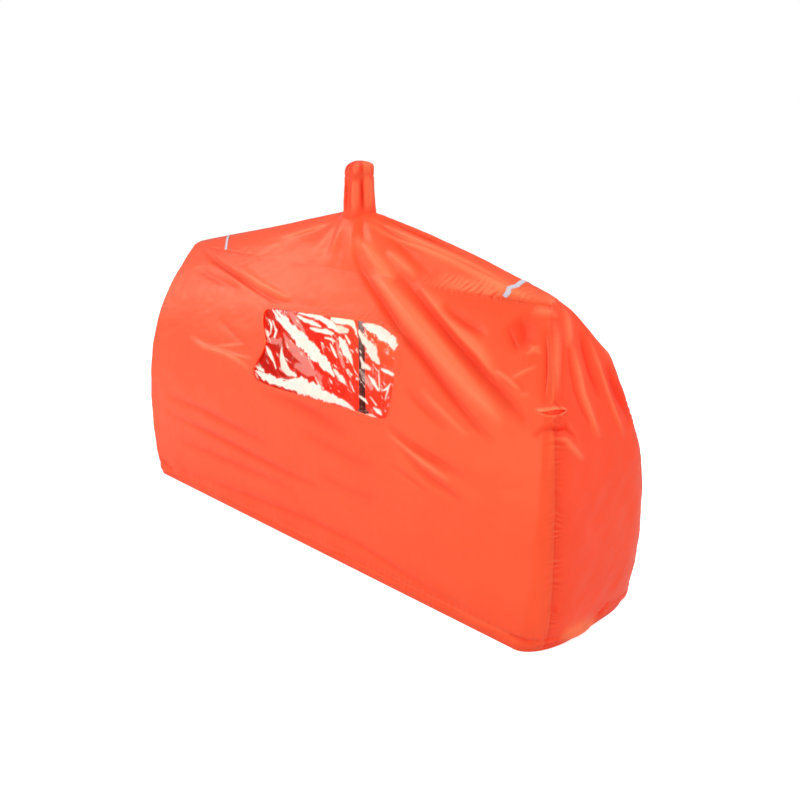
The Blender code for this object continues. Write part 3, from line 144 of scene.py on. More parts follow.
# Folds of the cloth, in millimetres: height, width and the places (x, y, z) of each path
FOLD_SHARPNESS = 1.6
FOLD_SIZE = 2.0
FOLDS = (
    # Beside and below the window
    (-3, 7, -605, -40, 669, -462, -74, 640, -328, -96, 612, -195, -109, 590, -110, -113, 582),
    (-2.2, 5, -552, -59, 651, -424, -82, 631, -325, -95, 615, -243, -105, 598),
    (-1.5, 10, -592, -76, 620, -473, -92, 605, -339, -105, 591),
    (2.2, 8, -511, -67, 645, -353, -94, 614, -224, -106, 596),
    (2, 10, -382, -78, 644, -254, -96, 619, -117, -107, 598),
    (-1, 9, -407, -134, 512, -310, -146, 480, -231, -154, 453),
    (2.6, 5.5, -522, -154, 443, -448, -158, 431, -342, -158, 431, -280, -161, 421, -211, -164,
     405),
    (1.2, 4, -401, -157, 437, -320, -153, 453, -253, -149, 469),
    (1.2, 4, -333, -159, 430, -252, -158, 434, -210, -157, 439),
    (-2.2, 10, -626, -184, 258, -458, -184, 257, -267, -185, 242, -103, -186, 234),
    (-2.6, 10, -617, -187, 209, -425, -187, 198, -215, -188, 183, -8, -188, 173, 106, -188, 170),
    (-2, 11, -591, -189, 135, -380, -189, 136, -165, -189, 136, -9, -189, 138),
    (-3, 20, -198, -169, 380, -57, -172, 366, 97, -175, 342, 175, -177, 332),
    (-1.8, 14, -18, -180, 300, 84, -182, 285, 180, -183, 276, 273, -182, 278),
    (-1.4, 14, 61, -187, 204, 177, -187, 197, 277, -187, 208),
    (3, 10, 159, -44, 742, 264, -54, 696),
    (-2.8, 8, 273, -169, 383, 357, -173, 357, 447, -175, 341, 516, -177, 323),
    (2.6, 8, 281, -171, 371, 365, -175, 343, 456, -178, 317, 485, -179, 306),
    (-2.6, 9, 323, -175, 341, 394, -179, 307, 459, -181, 290, 522, -183, 274),
    (-1.6, 6, 307, -181, 296, 367, -182, 281, 421, -183, 268),
    (-1.8, 8, 306, -146, 477, 381, -155, 442, 457, -163, 409),
    (1.8, 8, 359, -145, 479, 443, -154, 443, 516, -162, 410),
    # From the chimney down to the near corner
    (-4.2, 8.5, 56, -54, 742, 88, -65, 695, 169, -85, 643, 260, -109, 583, 330, -122, 549, 422,
     -139, 495, 506, -152, 448, 583, -161, 410),
    (4, 12, 56, -47, 765, 124, -54, 723, 207, -65, 680),
    (5, 16, 126, -62, 699, 270, -91, 622, 387, -114, 562, 494, -134, 505, 596, -149, 456),
    (-5, 12, 205, -58, 699, 329, -83, 632, 415, -102, 586, 514, -121, 536, 587, -134, 500, 649,
     -143, 472),
    (4, 14, 269, -60, 682, 383, -86, 621, 488, -105, 574, 558, -125, 525),
    (-3.5, 12, 349, -74, 647, 420, -83, 622, 488, -86, 608),
    # Round the near corner and the right peak
    (4, 4, 539, -115, 548, 573, -119, 537, 610, -123, 523),
    (2.4, 4, 580, -118, 538, 604, -108, 556, 629, -99, 571),
    (1.4, 3.5, 609, -128, 512, 634, -123, 522),
    (-2.4, 4.5, 527, -69, 631, 552, -83, 606, 577, -94, 584),
    (2.2, 3.5, 592, -81, 605, 630, -86, 592),
    (2.2, 3.5, 596, -91, 587, 618, -77, 607),
    (-4, 23, 536, -58, 645, 569, -68, 627, 578, -90, 592),
    (-3.5, 6, 663, -150, 447, 679, -145, 464, 692, -135, 470, 702, -125, 462, 706, -105, 464, 712,
     -83, 444, 718, -69, 422),
    (2.1, 9.5, 618, -34, 646, 642, -60, 608, 662, -85, 567, 683, -113, 513),
    (-3.2, 5.5, 613, -56, 636, 632, -81, 600, 652, -104, 558, 671, -128, 508),
    (-1, 2.8, 629, -22, 629, 651, -49, 593, 670, -75, 556, 688, -97, 514),
    (2.6, 10, 565, -39, 664, 595, -36, 662, 615, -20, 651),
    (2.4, 11, 601, 4, 669, 617, 4, 647, 636, -13, 619, 650, -35, 595),
    # On the right end
    (2.6, 5.5, 644, 46, 606, 669, 46, 559, 693, 49, 504, 711, 64, 450, 723, 80, 401),
    (-4, 15, 671, 69, 555, 690, 81, 510, 706, 99, 464, 718, 113, 420),
    (-2.2, 4.5, 642, -24, 609, 664, -42, 569, 686, -52, 520, 701, -43, 481, 712, -27, 447),
    (3, 9, 647, -14, 601, 670, -26, 556, 690, -30, 510, 708, -19, 460, 719, -4, 418),
    (-3.6, 9, 634, 30, 622, 655, 21, 586, 678, 16, 539, 698, 21, 491),
    (2.8, 6.2, 700, -129, 461, 716, -103, 430, 725, -65, 393),
    (2.2, 6.2, 704, -103, 471, 711, -85, 449, 719, -69, 420),
    (5, 18.6, 730, -120, 35, 733, -71, 24, 728, 1, 12),
    # On the roof
    (3.4, 5.5, 68, -29, 796, 183, -29, 765, 333, -27, 736, 474, -29, 700, 585, -24, 677),
    (3, 4.5, 73, -18, 807, 175, -21, 779, 298, -21, 753, 399, -21, 730, 522, -24, 695),
    (-2.6, 5, 91, -10, 812, 212, -12, 784, 330, -12, 755),
    (2.4, 5, -40, -20, 790, -180, -30, 745, -330, -30, 715),
    (3, 6, 70, 25, 800, 260, 30, 745, 450, 30, 700),
    (-2.6, 6, -40, 28, 790, -240, 32, 735, -430, 28, 700),
)
FOOT_TUCKS = (
    (-2.8, 5.5, -690, -188, 60, -662, -188, 40, -611, -187, 16),
    (-3, 5, 651, -188, 26, 685, -186, 28, 712, -161, 29),
    (-2.6, 6, 732, 0, 26, 735, 18, 29, 739, 56, 43),
    (-1.9, 10, -600, -188, 42, -370, -188, 54, -162, -189, 66, 43, -189, 74, 210, -189, 70, 343,
     -189, 52, 470, -188, 43, 600, -188, 40),
    (-1.4, 3.5, -560, -187, 24, -400, -187, 21, -200, -187, 16, 61, -187, 16, 208, -187, 25, 300,
     -187, 22, 430, -187, 21, 540, -187, 20),
)


# Walls as formulas


def swell(level):
    return (1.0 - (1.0 - level) ** SWELL_POWER) * (1.0 - level ** CLOSE_POWER)


def wall_reach(base, top, belly, level):
    """Distance of a wall from the middle plane at a level from 0, hem, to 1, roof seam."""
    return base + (top - base) * level ** LEAN_POWER + belly * swell(level)


def corner_long(level):
    return CORNER_LONG + (TOP_CORNER - CORNER_LONG) * level


def corner_deep(level):
    return CORNER_DEEP + (TOP_CORNER - CORNER_DEEP) * level


def corner_span(level):
    """Length of wall passed for each radian about the corner's seam."""
    return np.hypot(corner_long(level), corner_deep(level)) / math.sqrt(2.0)


def wall_height(level):
    return HEM_HEIGHT + (SEAM_HEIGHT - HEM_HEIGHT) * level


def level_at(height):
    return (height - HEM_HEIGHT) / (SEAM_HEIGHT - HEM_HEIGHT)


def end_reach(level, right):
    top = RIDGE_RIGHT if right else RIDGE_LEFT
    return wall_reach(BASE_LENGTH / 2, top, END_BELLY, level)


def side_reach(level):
    return wall_reach(BASE_WIDTH / 2, ROOF_HALF_WIDTH, SIDE_BELLY, level)


def stacked(x, y, z):
    return np.stack(np.broadcast_arrays(x, y, z), -1)


UP = np.array([0.0, 0.0, 1.0])
PLAN = np.array([1.0, 1.0, 0.0])
MIRROR = np.array([1.0, -1.0, 1.0])
FORWARD = np.array([0.0, 1.0, 0.0])


def side_wall(across, level):
    """Front wall: across runs from -1 at the left corner seam to 1 at the right one."""
    across, level = np.asarray(across, float), np.asarray(level, float)
    long, deep = corner_long(level), corner_deep(level)
    left = long - end_reach(level, False)
    right = end_reach(level, True) - long
    flat = np.clip(across / STRAIGHT_SHARE, -1.0, 1.0)
    arch = (1.0 - flat ** 2) * level ** BOW_POWER
    turn = np.clip((abs(across) - STRAIGHT_SHARE) / (1.0 - STRAIGHT_SHARE), 0.0, 1.0) * math.pi / 4
    x = (left + right) / 2 + flat * (right - left) / 2 + np.sign(across) * long * np.sin(turn)
    y = -side_reach(level) - SEAM_BOW * arch + deep * (1.0 - np.cos(turn))
    return stacked(x, y, wall_height(level) + SEAM_LIFT * arch)


def rear_wall(across, level):
    return side_wall(across, level) * MIRROR


def end_wall(across, level, right=True):
    """End wall: across runs from -1 at the front corner seam to 1 at the rear one."""
    across, level = np.asarray(across, float), np.asarray(level, float)
    long, deep = corner_long(level), corner_deep(level)
    flat = np.clip(across / END_STRAIGHT_SHARE, -1.0, 1.0)
    spare = (abs(across) - END_STRAIGHT_SHARE) / (1.0 - END_STRAIGHT_SHARE)
    turn = np.clip(spare, 0.0, 1.0) * math.pi / 4
    x = end_reach(level, right) - long * (1.0 - np.cos(turn))
    y = flat * (side_reach(level) - deep) + np.sign(across) * deep * np.sin(turn)
    top_y = flat * (ROOF_HALF_WIDTH - TOP_CORNER) + np.sign(across) * TOP_CORNER * np.sin(turn)
    peak = RIDGE_RISE * np.clip(1.0 - abs(top_y) / ROOF_HALF_WIDTH, 0.0, 1.0)
    return stacked(x if right else -x, y, wall_height(level) + peak * level ** PEAK_POWER)


def left_wall(across, level):
    return end_wall(across, level, False)


def corner_wall(turn, level, right=True):
    """Front corner by its angle, 0 where the side starts and 90 degrees where the end does."""
    turn, level = np.asarray(turn, float), np.asarray(level, float)
    long, deep = corner_long(level), corner_deep(level)
    x = end_reach(level, right) - long + long * np.sin(turn)
    y = -(side_reach(level) - deep) - deep * np.cos(turn)
    return stacked(x if right else -x, y, wall_height(level))


def roof_point(edge, along):
    """A point of the roof on the straight line from an edge point, 0, to the chimney, 1."""
    edge, along = np.asarray(edge, float), np.asarray(along, float)
    dx, dy = edge[..., 0] - CHIMNEY_X, edge[..., 1]
    reach = np.hypot(dx, dy)
    dx, dy = dx / reach, dy / reach
    middle = np.clip(1.0 - abs(edge[..., 1]) / ROOF_HALF_WIDTH, 0.0, 1.0)
    low = edge[..., 2] + RIDGE_RISE * middle
    high = CHIMNEY_BASE - CHIMNEY_DIP * dy ** 2
    out = reach + (CHIMNEY_RADIUS - reach) * along
    z = high - (high - low) * (1.0 - along) ** (RIDGE_ARCH + RIDGE_SKEW * dx)
    return stacked(CHIMNEY_X + dx * out, dy * out, z)


def unit(vectors):
    return vectors / np.linalg.norm(vectors, axis=-1, keepdims=True)


def smooth_step(share):
    share = np.clip(share, 0.0, 1.0)
    return share * share * (3.0 - 2.0 * share)


def seam_direction(places):
    """Offset direction at the roof seam, the same for the roof and the walls that meet there."""
    over = np.clip(abs(places[..., 1]) / ROOF_HALF_WIDTH, 0.0, 1.0)
    middle = (RIDGE_RIGHT - RIDGE_LEFT) / 2
    half = (RIDGE_RIGHT + RIDGE_LEFT) / 2
    tip = np.clip((abs(places[..., 0] - middle) - half + 2 * TOP_CORNER) / (2 * TOP_CORNER), 0, 1)
    along, across, up = SEAM_FACING
    return unit(stacked(np.sign(places[..., 0]) * tip * along,
                        np.sign(places[..., 1]) * over * across, up))


def wall_facing(surface, across, level):
    """Outward direction of a wall, eased into the roof seam's own near the top."""
    step = 1e-4
    along = surface(across + step, level) - surface(across - step, level)
    higher, lower = np.minimum(level + step, 1.0), np.maximum(level - step, 0.0)
    up = surface(across, higher) - surface(across, lower)
    facing = unit(np.cross(along, up))
    place = surface(across, level)
    outward = (facing * (place - (CHIMNEY_X, 0.0, 0.0)) * PLAN).sum(-1, keepdims=True)
    facing = facing * np.where(outward < 0, -1.0, 1.0)
    near_top = smooth_step((level - 0.955) / 0.045)[..., None]
    return unit(facing * (1.0 - near_top) + seam_direction(place) * near_top)


def corner_skin(right, rear, turn, level):
    """Places of any corner's cloth by its angle and level, and its outward directions."""
    flip = MIRROR if rear else 1.0

    def surface(a, b):
        return corner_wall(a, b, right)

    return surface(turn, level) * flip, wall_facing(surface, turn, level) * flip


# Folds


def distance_to_path(points, path):
    """Distance of each point from a path, and how far along it the nearest place is, 0 to 1."""
    path = np.asarray(path, float)
    steps = np.linalg.norm(np.diff(path, axis=0), axis=1)
    starts = np.concatenate([[0.0], np.cumsum(steps)])
    best = np.full(points.shape[:-1], np.inf)
    along = np.zeros(points.shape[:-1])
    for i, (low, high) in enumerate(zip(path, path[1:])):
        run = high - low
        share = np.clip(((points - low) @ run) / (run @ run), 0.0, 1.0)
        off = np.linalg.norm(points - low - share[..., None] * run, axis=-1)
        closer = off < best
        best = np.where(closer, off, best)
        along = np.where(closer, (starts[i] + share * steps[i]) / starts[-1], along)
    return best, along

def near_path(points, path, reach):
    """Which points lie in the box round a path, made larger by a reach."""
    return np.all((points > path.min(0) - reach) & (points < path.max(0) + reach), axis=-1)


def bell(off, width):
    return np.exp(-(off / width) ** 2)


def fold_lift(points, folds):
    """Height of all folds at surface points, each dying away at its two ends."""
    total = np.zeros(points.shape[:-1])
    for height, width, path in folds:
        near = near_path(points, path, 3.0 * width)
        off, along = distance_to_path(points[near], path)
        fade = (4.0 * along * (1.0 - along)) ** 0.8
        total[near] += FOLD_SIZE * height * fade * np.exp(-(off / width) ** FOLD_SHARPNESS)
    return total


def ripple(points, size, seed, count=20):
    """Gentle waves in many directions, about one high."""
    chance = np.random.default_rng(seed)
    total = np.zeros(points.shape[:-1])
    for _ in range(count):
        way = unit(chance.normal(size=3))
        wave = math.tau / size * chance.uniform(0.6, 1.6)
        total = total + np.sin(points @ way * wave + chance.uniform(0.0, math.tau))
    return total / math.sqrt(count / 2)


def random_folds(surface, seed, count, low_level, high_level, height, width):
    """Folds that run down and outwards from a wall's top, the same chance ones in every build."""
    chance = np.random.default_rng(seed)
    folds = []
    for _ in range(count):
        start, drift = chance.uniform(-0.85, 0.85), chance.uniform(0.05, 0.5)
        top = chance.uniform(high_level - 0.1, high_level)
        foot = chance.uniform(low_level, high_level)
        share = np.linspace(0.0, 1.0, 6)
        across = np.clip(start + math.copysign(drift, start) * share, -0.97, 0.97)
        level = top + (min(foot, top - 0.1) - top) * share
        size = height * chance.uniform(0.5, 1.0) * chance.choice((-1.0, 1.0))
        folds.append((size, width * chance.uniform(0.7, 1.5), surface(across, level)))
    return folds


def traced(rows):
    """Folds in metres from rows of height, width and places in millimetres."""
    return [(row[0] / 1000, row[1] / 1000, np.reshape(row[2:], (-1, 3)) / 1000) for row in rows]


ALL_FOLDS = (traced(FOLDS) + random_folds(rear_wall, 7, 34, 0.35, 0.99, 0.0045, 0.012)
             + random_folds(left_wall, 9, 14, 0.45, 0.98, 0.0038, 0.008) + traced(FOOT_TUCKS))

CORNER_SEAMS = [corner_skin(right, rear, math.pi / 4, np.linspace(0.0, 1.0, 30))[0]
                for right in (False, True) for rear in (False, True)]
PUCKER_PITCH = 0.0125
PUCKER_HEIGHT = 0.0009
PUCKER_REACH = 0.017
PUCKER_TOP = 0.46
SEAM_GROOVE = 0.0008
GROOVE_WIDTH = 0.0022


def corner_form(points):
    """Height of each corner's sunk seam and of the short puckers that slant away, and their painted
    shade and highlight.
    """
    total, painted_shading = np.zeros((2, *points.shape[:-1]))
    for path in CORNER_SEAMS:
        near = near_path(points, path, 0.04)
        place = points[near]
        x, y, z = place.T
        off, _ = distance_to_path(place, path)
        drift = ripple(place * UP, 0.04, 11) * 1.9
        slant = 0.15 + 0.25 * ripple(place * UP, 0.09, 13)
        wave = np.sin(math.tau * (z + slant * off) / PUCKER_PITCH + drift)
        strength = 0.55 + 0.45 * ripple(place * (0.3, 0.3, 1.0), 0.06, 12)
        low = 1.0 - smooth_step((z - PUCKER_TOP) / 0.12)
        seam_side = np.interp(z, path[:, 2], abs(path[:, 0]) - abs(path[:, 1]))
        side = 0.35 + 0.65 * smooth_step(0.5 + (abs(x) - abs(y) - seam_side) / 0.006)
        strength = strength * (0.35 + 0.65 * low) * side
        pucker = PUCKER_HEIGHT * wave * strength * smooth_step(off / 0.002)
        groove = -SEAM_GROOVE * (0.3 + 0.7 * low) * bell(off, GROOVE_WIDTH)
        spread = bell(off, PUCKER_REACH)
        total[near] += pucker * spread + groove
        # Painted light and shade across the puckers, and painted shade along the seam, strongest on
        # the end side
        painted_shading[near] += (0.60 * wave * strength - 0.35 * side) * spread * (0.2 + 0.8 * low)
    return total, painted_shading


ROOF_SEAM = side_wall(np.linspace(-0.99, 0.99, 60), 1.0)
GATHER_PITCH = 0.0150
GATHER_X = 0.430
GATHER_SPREAD = 0.105
GATHER_HIGHLIGHT_BAND = 0.012


def roof_seam_form(points):
    """Height of the gathers where the roof is sewn to the two long walls, and a band of painted
    highlight above them.
    """
    total, painted_shading = np.zeros((2, *points.shape[:-1]))
    for mirror, shade in ((1.0, 1.0), (-1.0, 0.5)):
        near = (points[..., 2] > SEAM_HEIGHT - 0.045) & (points[..., 1] * mirror < 0.0)
        place = points[near]
        x, _, z = place.T
        off, _ = distance_to_path(place, ROOF_SEAM * (1.0, mirror, 1.0))
        gather = bell(x - GATHER_X, GATHER_SPREAD)
        end = smooth_step((abs(x - 0.05) - 0.30) / 0.2)
        above = smooth_step((z - SEAM_HEIGHT) / 0.01)
        phase = math.tau * (x - 0.7 * off) / GATHER_PITCH
        phase = phase + 1.3 * ripple(place * (1.0, 0.3, 0.3), 0.05, 21)
        wave = np.sin(phase) * (0.7 + 0.5 * ripple(place, 0.03, 22))
        reach = 0.009 + 0.011 * gather * above
        total[near] += (0.0015 * gather + 0.0004 * end) * wave * bell(off, reach)
        total[near] -= 0.0008 * end * bell(off, GROOVE_WIDTH)
        # A band of painted highlight just above the seam where the gathers are, half as strong at
        # the rear
        band = bell(off - GATHER_HIGHLIGHT_BAND, 1.6 * GATHER_HIGHLIGHT_BAND) * above
        painted_shading[near] += gather * band * (0.85 + 0.65 * wave) * shade
    return total, painted_shading


# How sharply the roof bends at each end, as the slope away from the middle of the bend
END_SEAMS = [(end_wall(np.linspace(-1.0, 1.0, 41), 1.0, right), bend)
             for right, bend in ((True, 0.38), (False, 0.08))]
END_ROUND = 0.014


def end_seam_lift(points):
    """Rounds the bend where the roof goes over into each end wall."""
    total = np.zeros(points.shape[:-1])
    for path, bend in END_SEAMS:
        near = near_path(points, path, 0.08)
        off, _ = distance_to_path(points[near], path)
        total[near] -= bend * (np.hypot(off, END_ROUND) - off) * bell(off, 0.04)
    return total


def hem_lift(points):
    """The rounded channel along the ground and the pulled-in line of its stitches."""
    x, y, z = np.moveaxis(points, -1, 0)
    over = z - HEM_SEAM_HEIGHT
    round_up = 0.0026 * np.sin(np.clip(z / HEM_SEAM_HEIGHT, 0.0, 1.0) * math.pi) ** 0.8
    wave = np.sin(math.tau * (x + y) / 0.017 + 1.5 * ripple(points * PLAN, 0.08, 31))
    slack = 0.0015 * ripple(points * (1.0, 1.0, 0.3), 0.12, 32) * bell(z, 0.05)
    return (round_up - 0.0009 * bell(over, GROOVE_WIDTH) + 0.0006 * wave * bell(over, 0.014)
            + slack * smooth_step(z / 0.02))


def window_outline(grow=0.0, steps=6):
    """The window's closed outline on the wall as (x, z) places, made larger by a distance."""
    corners, out = np.array(WINDOW_OUTLINE), []
    s = np.arange(steps)[:, None] / steps
    for i in range(len(corners)):
        a, b, c, d = (corners[(i + k) % len(corners)] for k in (-1, 0, 1, 2))
        cubic = 3 * (b - c) + d - a
        out.append(b + 0.5 * s * (c - a + s * (2 * a - 5 * b + 4 * c - d + s * cubic)))
    out = np.concatenate(out)
    ahead = unit(np.roll(out, -1, 0) - np.roll(out, 1, 0))
    away = ahead[:, ::-1] * (-1.0, 1.0)
    away = away * np.sign((away * out).sum(-1).mean())
    return out + away * grow + (WINDOW_X, WINDOW_Z)


def window_distance(points):
    """Distance of wall places from the window's edge, below zero inside it."""
    outline, flat = window_outline(), points[..., (0, 2)]
    off, _ = distance_to_path(flat, np.concatenate([outline, outline[:1]]))
    rim_x, rim_z = (outline - (WINDOW_X, WINDOW_Z)).T
    x, z = np.moveaxis(flat - (WINDOW_X, WINDOW_Z), -1, 0)
    rim_turn = np.arctan2(rim_z, rim_x)
    order = np.argsort(rim_turn)
    reach = np.interp(np.arctan2(z, x), rim_turn[order], np.hypot(rim_x, rim_z)[order],
                      period=math.tau)
    return np.where(np.hypot(x, z) < reach, -off, off)


WINDOW_BAND = 0.012
WINDOW_ZONE = (0.32, 0.17)


def window_zone(points):
    """Which points lie near the window and on its own side."""
    wide, tall = WINDOW_ZONE
    return ((abs(points[..., 0] - WINDOW_X) < wide) & (abs(points[..., 2] - WINDOW_Z) < tall)
            & (points[..., 1] < 0.0))


def window_lift(points):
    """The doubled cloth round the window and the small puckers along its stitches."""
    total, near = np.zeros(points.shape[:-1]), window_zone(points)
    place = points[near]
    off = window_distance(place)
    band = 0.0007 * (1.0 - smooth_step((off - WINDOW_BAND) / 0.003))
    girth = place[..., 0] - place[..., 2]
    wave = np.sin(math.tau * girth / 0.016 + 1.5 * ripple(place, 0.07, 41))
    pucker = 0.0007 * wave * bell(off - WINDOW_BAND, 0.012)
    total[near] = band + pucker * smooth_step(off / 0.004)
    return total


def window_calm(points):
    """1 away from the window and 0 over it, so that the big folds stop at its edge."""
    calm, near = np.ones(points.shape[:-1]), window_zone(points)
    calm[near] = smooth_step(window_distance(points[near]) / 0.030 + 0.04)
    return calm


def vent_frame():
    """The vent slit's middle on the corner seam, its outward and its sideways direction."""
    level, step = level_at(VENT_HEIGHT), 1e-4
    side = corner_wall(math.pi / 4 + step, level) - corner_wall(math.pi / 4 - step, level)
    wide = unit(side * PLAN)
    return corner_wall(math.pi / 4, level), stacked(wide[1], -wide[0], 0.0), wide


LIP_HEIGHT = 0.0040
LIP_WIDTH = 0.0034


def vent_lift(points):
    """The lips of the slit at the near corner."""
    middle, _, wide = vent_frame()
    away = points - middle
    along = (away @ wide) / (VENT_WIDTH / 2)
    gap = VENT_OPEN / 2 * np.clip(1.0 - along ** 2, 0.0, 1.0)
    past = np.maximum(abs(along) - 1.0, 0.0)
    off = np.hypot(np.maximum(abs(away[..., 2]) - gap, 0.0), past * VENT_WIDTH / 2)
    return LIP_HEIGHT * bell(off, LIP_WIDTH) * np.exp(-past * 4.0)


# Fold depth that gets the full painted shade, and the most painted highlight that a ridge gets
PAINTED_SHADE_DEPTH = 0.0070
RIDGE_HIGHLIGHT_LIMIT = 0.7


def skin_form(points):
    """How far the cloth stands out at each place, and its painted shading: -1 painted shade deep in
    folds, 1 painted highlight on top.
    """
    slow = 0.0005 * ripple(points * (0.45, 1.0, 1.3), 0.085, 3)
    quick = 0.00014 * ripple(points * (0.7, 1.0, 1.3), 0.026, 5, 30)
    calm = window_calm(points)
    folds = fold_lift(points, ALL_FOLDS) * calm
    corners, corner_painted_shading = corner_form(points)
    seams, seam_painted_shading = roof_seam_form(points)
    details = corners + seams + hem_lift(points) + end_seam_lift(points)
    lips = vent_lift(points)
    lift = (slow + quick) * calm + folds + details + window_lift(points) + lips
    # Painted shade and highlight from the folds, the corner puckers and the gathers, and a painted
    # highlight on the vent's lips
    painted_shading = np.minimum(folds / PAINTED_SHADE_DEPTH, RIDGE_HIGHLIGHT_LIMIT) + corner_painted_shading + seam_painted_shading + lips / LIP_HEIGHT
    return lift, np.clip(painted_shading, -1.0, 1.0)


def skin_lift(points):
    return skin_form(points)[0]


# Meshes


def placed(name, data):
    """Puts a mesh, a lamp or a camera into the scene."""
    made = bpy.data.objects.new(name, data)
    bpy.context.scene.collection.objects.link(made)
    return made


def plain_piece(name, points, edges, faces):
    mesh = bpy.data.meshes.new(name)
    mesh.from_pydata(np.asarray(points, float).reshape(-1, 3).tolist(), edges, faces)
    return placed(name, mesh)


def enrol(made, slot, *replaces):
    """Lets a piece ride on the shelter and stand for the CAD nodes it replaces."""
    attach(made, SKIN_BODY)
    if replaces:
        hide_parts(*replaces)


def add_mesh(name, node, finish, slot, points, faces, painted_shading=None):
    """A smooth finished piece; a two-sided one may carry the painted shade and highlight of its
    grid's places.
    """
    made = plain_piece(name, points, [], faces)
    if painted_shading is not None:
        both = np.concatenate([painted_shading.ravel(), painted_shading[::2, ::2].ravel()])
        made.data.attributes.new("painted_fold_shading", "FLOAT", "POINT").data.foreach_set("value", both)
    made.data.validate()
    made.data.materials.append(finish)
    face_outwards(made)
    enrol(made, slot, node)
    return made


# Edges that bend by more than this many degrees stay sharp
SHARP_EDGE = 50.0


def face_outwards(made):
    built = bmesh.new()
    built.from_mesh(made.data)
    bmesh.ops.remove_doubles(built, verts=built.verts, dist=1e-6)
    bmesh.ops.recalc_face_normals(built, faces=built.faces)
    if built.calc_volume(signed=True) < 0.0:
        bmesh.ops.reverse_faces(built, faces=built.faces)
    built.to_mesh(made.data)
    built.free()
    made.data.shade_smooth()
    made.data.set_sharp_from_angle(angle=math.radians(SHARP_EDGE))


def baked(made):
    """Applies a piece's modifiers to its mesh."""
    graph = bpy.context.evaluated_depsgraph_get()
    mesh = bpy.data.meshes.new_from_object(made.evaluated_get(graph))
    made.modifiers.clear()
    made.data = mesh


def ringed(grid):
    """A grid with its first column again at its end."""
    return np.concatenate([grid, grid[:, :1]], 1)


def quads(grid):
    """The four corners of each cell of a grid of numbers."""
    cells = np.stack([grid[:-1, :-1], grid[:-1, 1:], grid[1:, 1:], grid[1:, :-1]], -1)
    return cells.reshape(-1, 4)


def lowest_near(values, reach, closed):
    """The lowest value around each place of a grid, so that an inner face clears every dip."""
    rows, columns = values.shape
    wide = np.pad(values, ((0, 0), (reach, reach)), mode="wrap" if closed else "edge")
    tall = np.pad(wide, ((reach, reach), (0, 0)), mode="edge")
    steps = range(2 * reach + 1)
    return np.min([tall[i:i + rows, j:j + columns] for i in steps for j in steps], axis=0)


def two_sided_faces(shape, closed):
    """Faces of a sheet with a fine outer side, an inner side of half its steps, and its rims."""
    fine = np.arange(shape[0] * shape[1]).reshape(shape)
    coarse = fine[::2, ::2]
    coarse = fine.size + np.arange(coarse.size).reshape(coarse.shape)
    if closed:
        fine, coarse = ringed(fine), ringed(coarse)
    faces = quads(fine).tolist() + quads(coarse)[:, ::-1].tolist()
    rims = [(fine[0, ::-1], coarse[0, ::-1]), (fine[-1], coarse[-1])]
    if not closed:
        rims += [(fine[:, 0], coarse[:, 0]), (fine[::-1, -1], coarse[::-1, -1])]
    for line, under in rims:
        line, under = line.tolist(), under.tolist()
        faces += [line[2 * k:2 * k + 3] + [under[k + 1], under[k]] for k in range(len(under) - 1)]
    return faces


def two_sided(base, facing, lift, thickness, closed=False):
    """Outer places, points and faces of a cloth sheet over a grid of places."""
    lift = np.broadcast_to(lift, base.shape[:2])
    outer = base + facing * lift[..., None]
    low = lowest_near(lift, 2, closed) - thickness
    inner = (base + facing * low[..., None])[::2, ::2]
    points = np.concatenate([outer.reshape(-1, 3), inner.reshape(-1, 3)])
    return outer, points, two_sided_faces(base.shape[:2], closed)


# Narrow tapes are cut at least this wide, with their turned edges
NARROWEST_CUT = 0.0101


def declare_sheet(grid, closed=False, flat=None):
    """Works out a sheet's cut size, from its own rows and columns where none is given; the size is
    not kept.
    """
    ring = ringed(grid) if closed else grid
    rows = np.linalg.norm(np.diff(ring, axis=1), axis=-1)
    columns = np.linalg.norm(np.diff(ring, axis=0), axis=-1)
    flat = flat or (float(rows.sum(1).max()), float(columns.sum(0).max()))
    width, length = (max(side, NARROWEST_CUT) for side in flat)


def add_sheet(name, node, finish, slot, base, facing, lift, thickness,
              closed=False, flat=None, painted_shading=None, change=()):
    """A two-sided piece with its own changes, such as holes; its cut size is worked out and not
    kept.
    """
    outer, points, faces = two_sided(base, facing, lift, thickness, closed)
    made = add_mesh(name, node, finish, slot, points, faces, painted_shading)
    for step in change:
        step(made)
    declare_sheet(outer, closed, flat)
    return outer


def graded_line(low, high, count, middle, spread, more):
    """Stations from low to high, closer together round a middle."""
    fine = np.linspace(low, high, 4000)
    weight = 1.0 + more * bell(fine - middle, spread)
    total = np.concatenate([[0.0], np.cumsum((weight[1:] + weight[:-1]) / 2)])
    return np.interp(np.linspace(0.0, total[-1], count + 1), total, fine)


def wall_stations(share, straight, arc_columns):
    """Stations across a wall: its straight part as given and its corners closest at the seam."""
    spare = 1.0 - share
    arc = share + spare * np.sin(np.linspace(0.0, math.pi / 2, arc_columns + 1)) ** 0.9
    arc[-1] = 1.0 - SEAM_GAP / 0.1 * spare
    return np.concatenate([-arc[::-1], straight[1:-1] * share, arc])


def front_stations():
    """Places across a long wall, closest together where the gathers and folds are finest."""
    flat = graded_line(-1.0, 1.0, FRONT_COLUMNS, middle=0.62, spread=0.45, more=0.9)
    return wall_stations(STRAIGHT_SHARE, flat, SIDE_ARC_COLUMNS)


def even_stations(share, columns, arc_columns):
    return wall_stations(share, np.linspace(-1.0, 1.0, columns + 1), arc_columns)


def add_wall(name, node, finish, surface, stations, rows, *change):
    """A wall's cloth, from just above the hem to just below the roof seam."""
    across, level = np.meshgrid(stations, np.linspace(2.0 * SEAM_GAP, 1.0 - SEAM_GAP, rows + 1))
    base = surface(across, level)
    lift, painted_shading = skin_form(base)
    add_sheet(name, node, finish, "cloth", base, wall_facing(surface, across, level), lift, CLOTH,
              painted_shading=painted_shading, change=change)


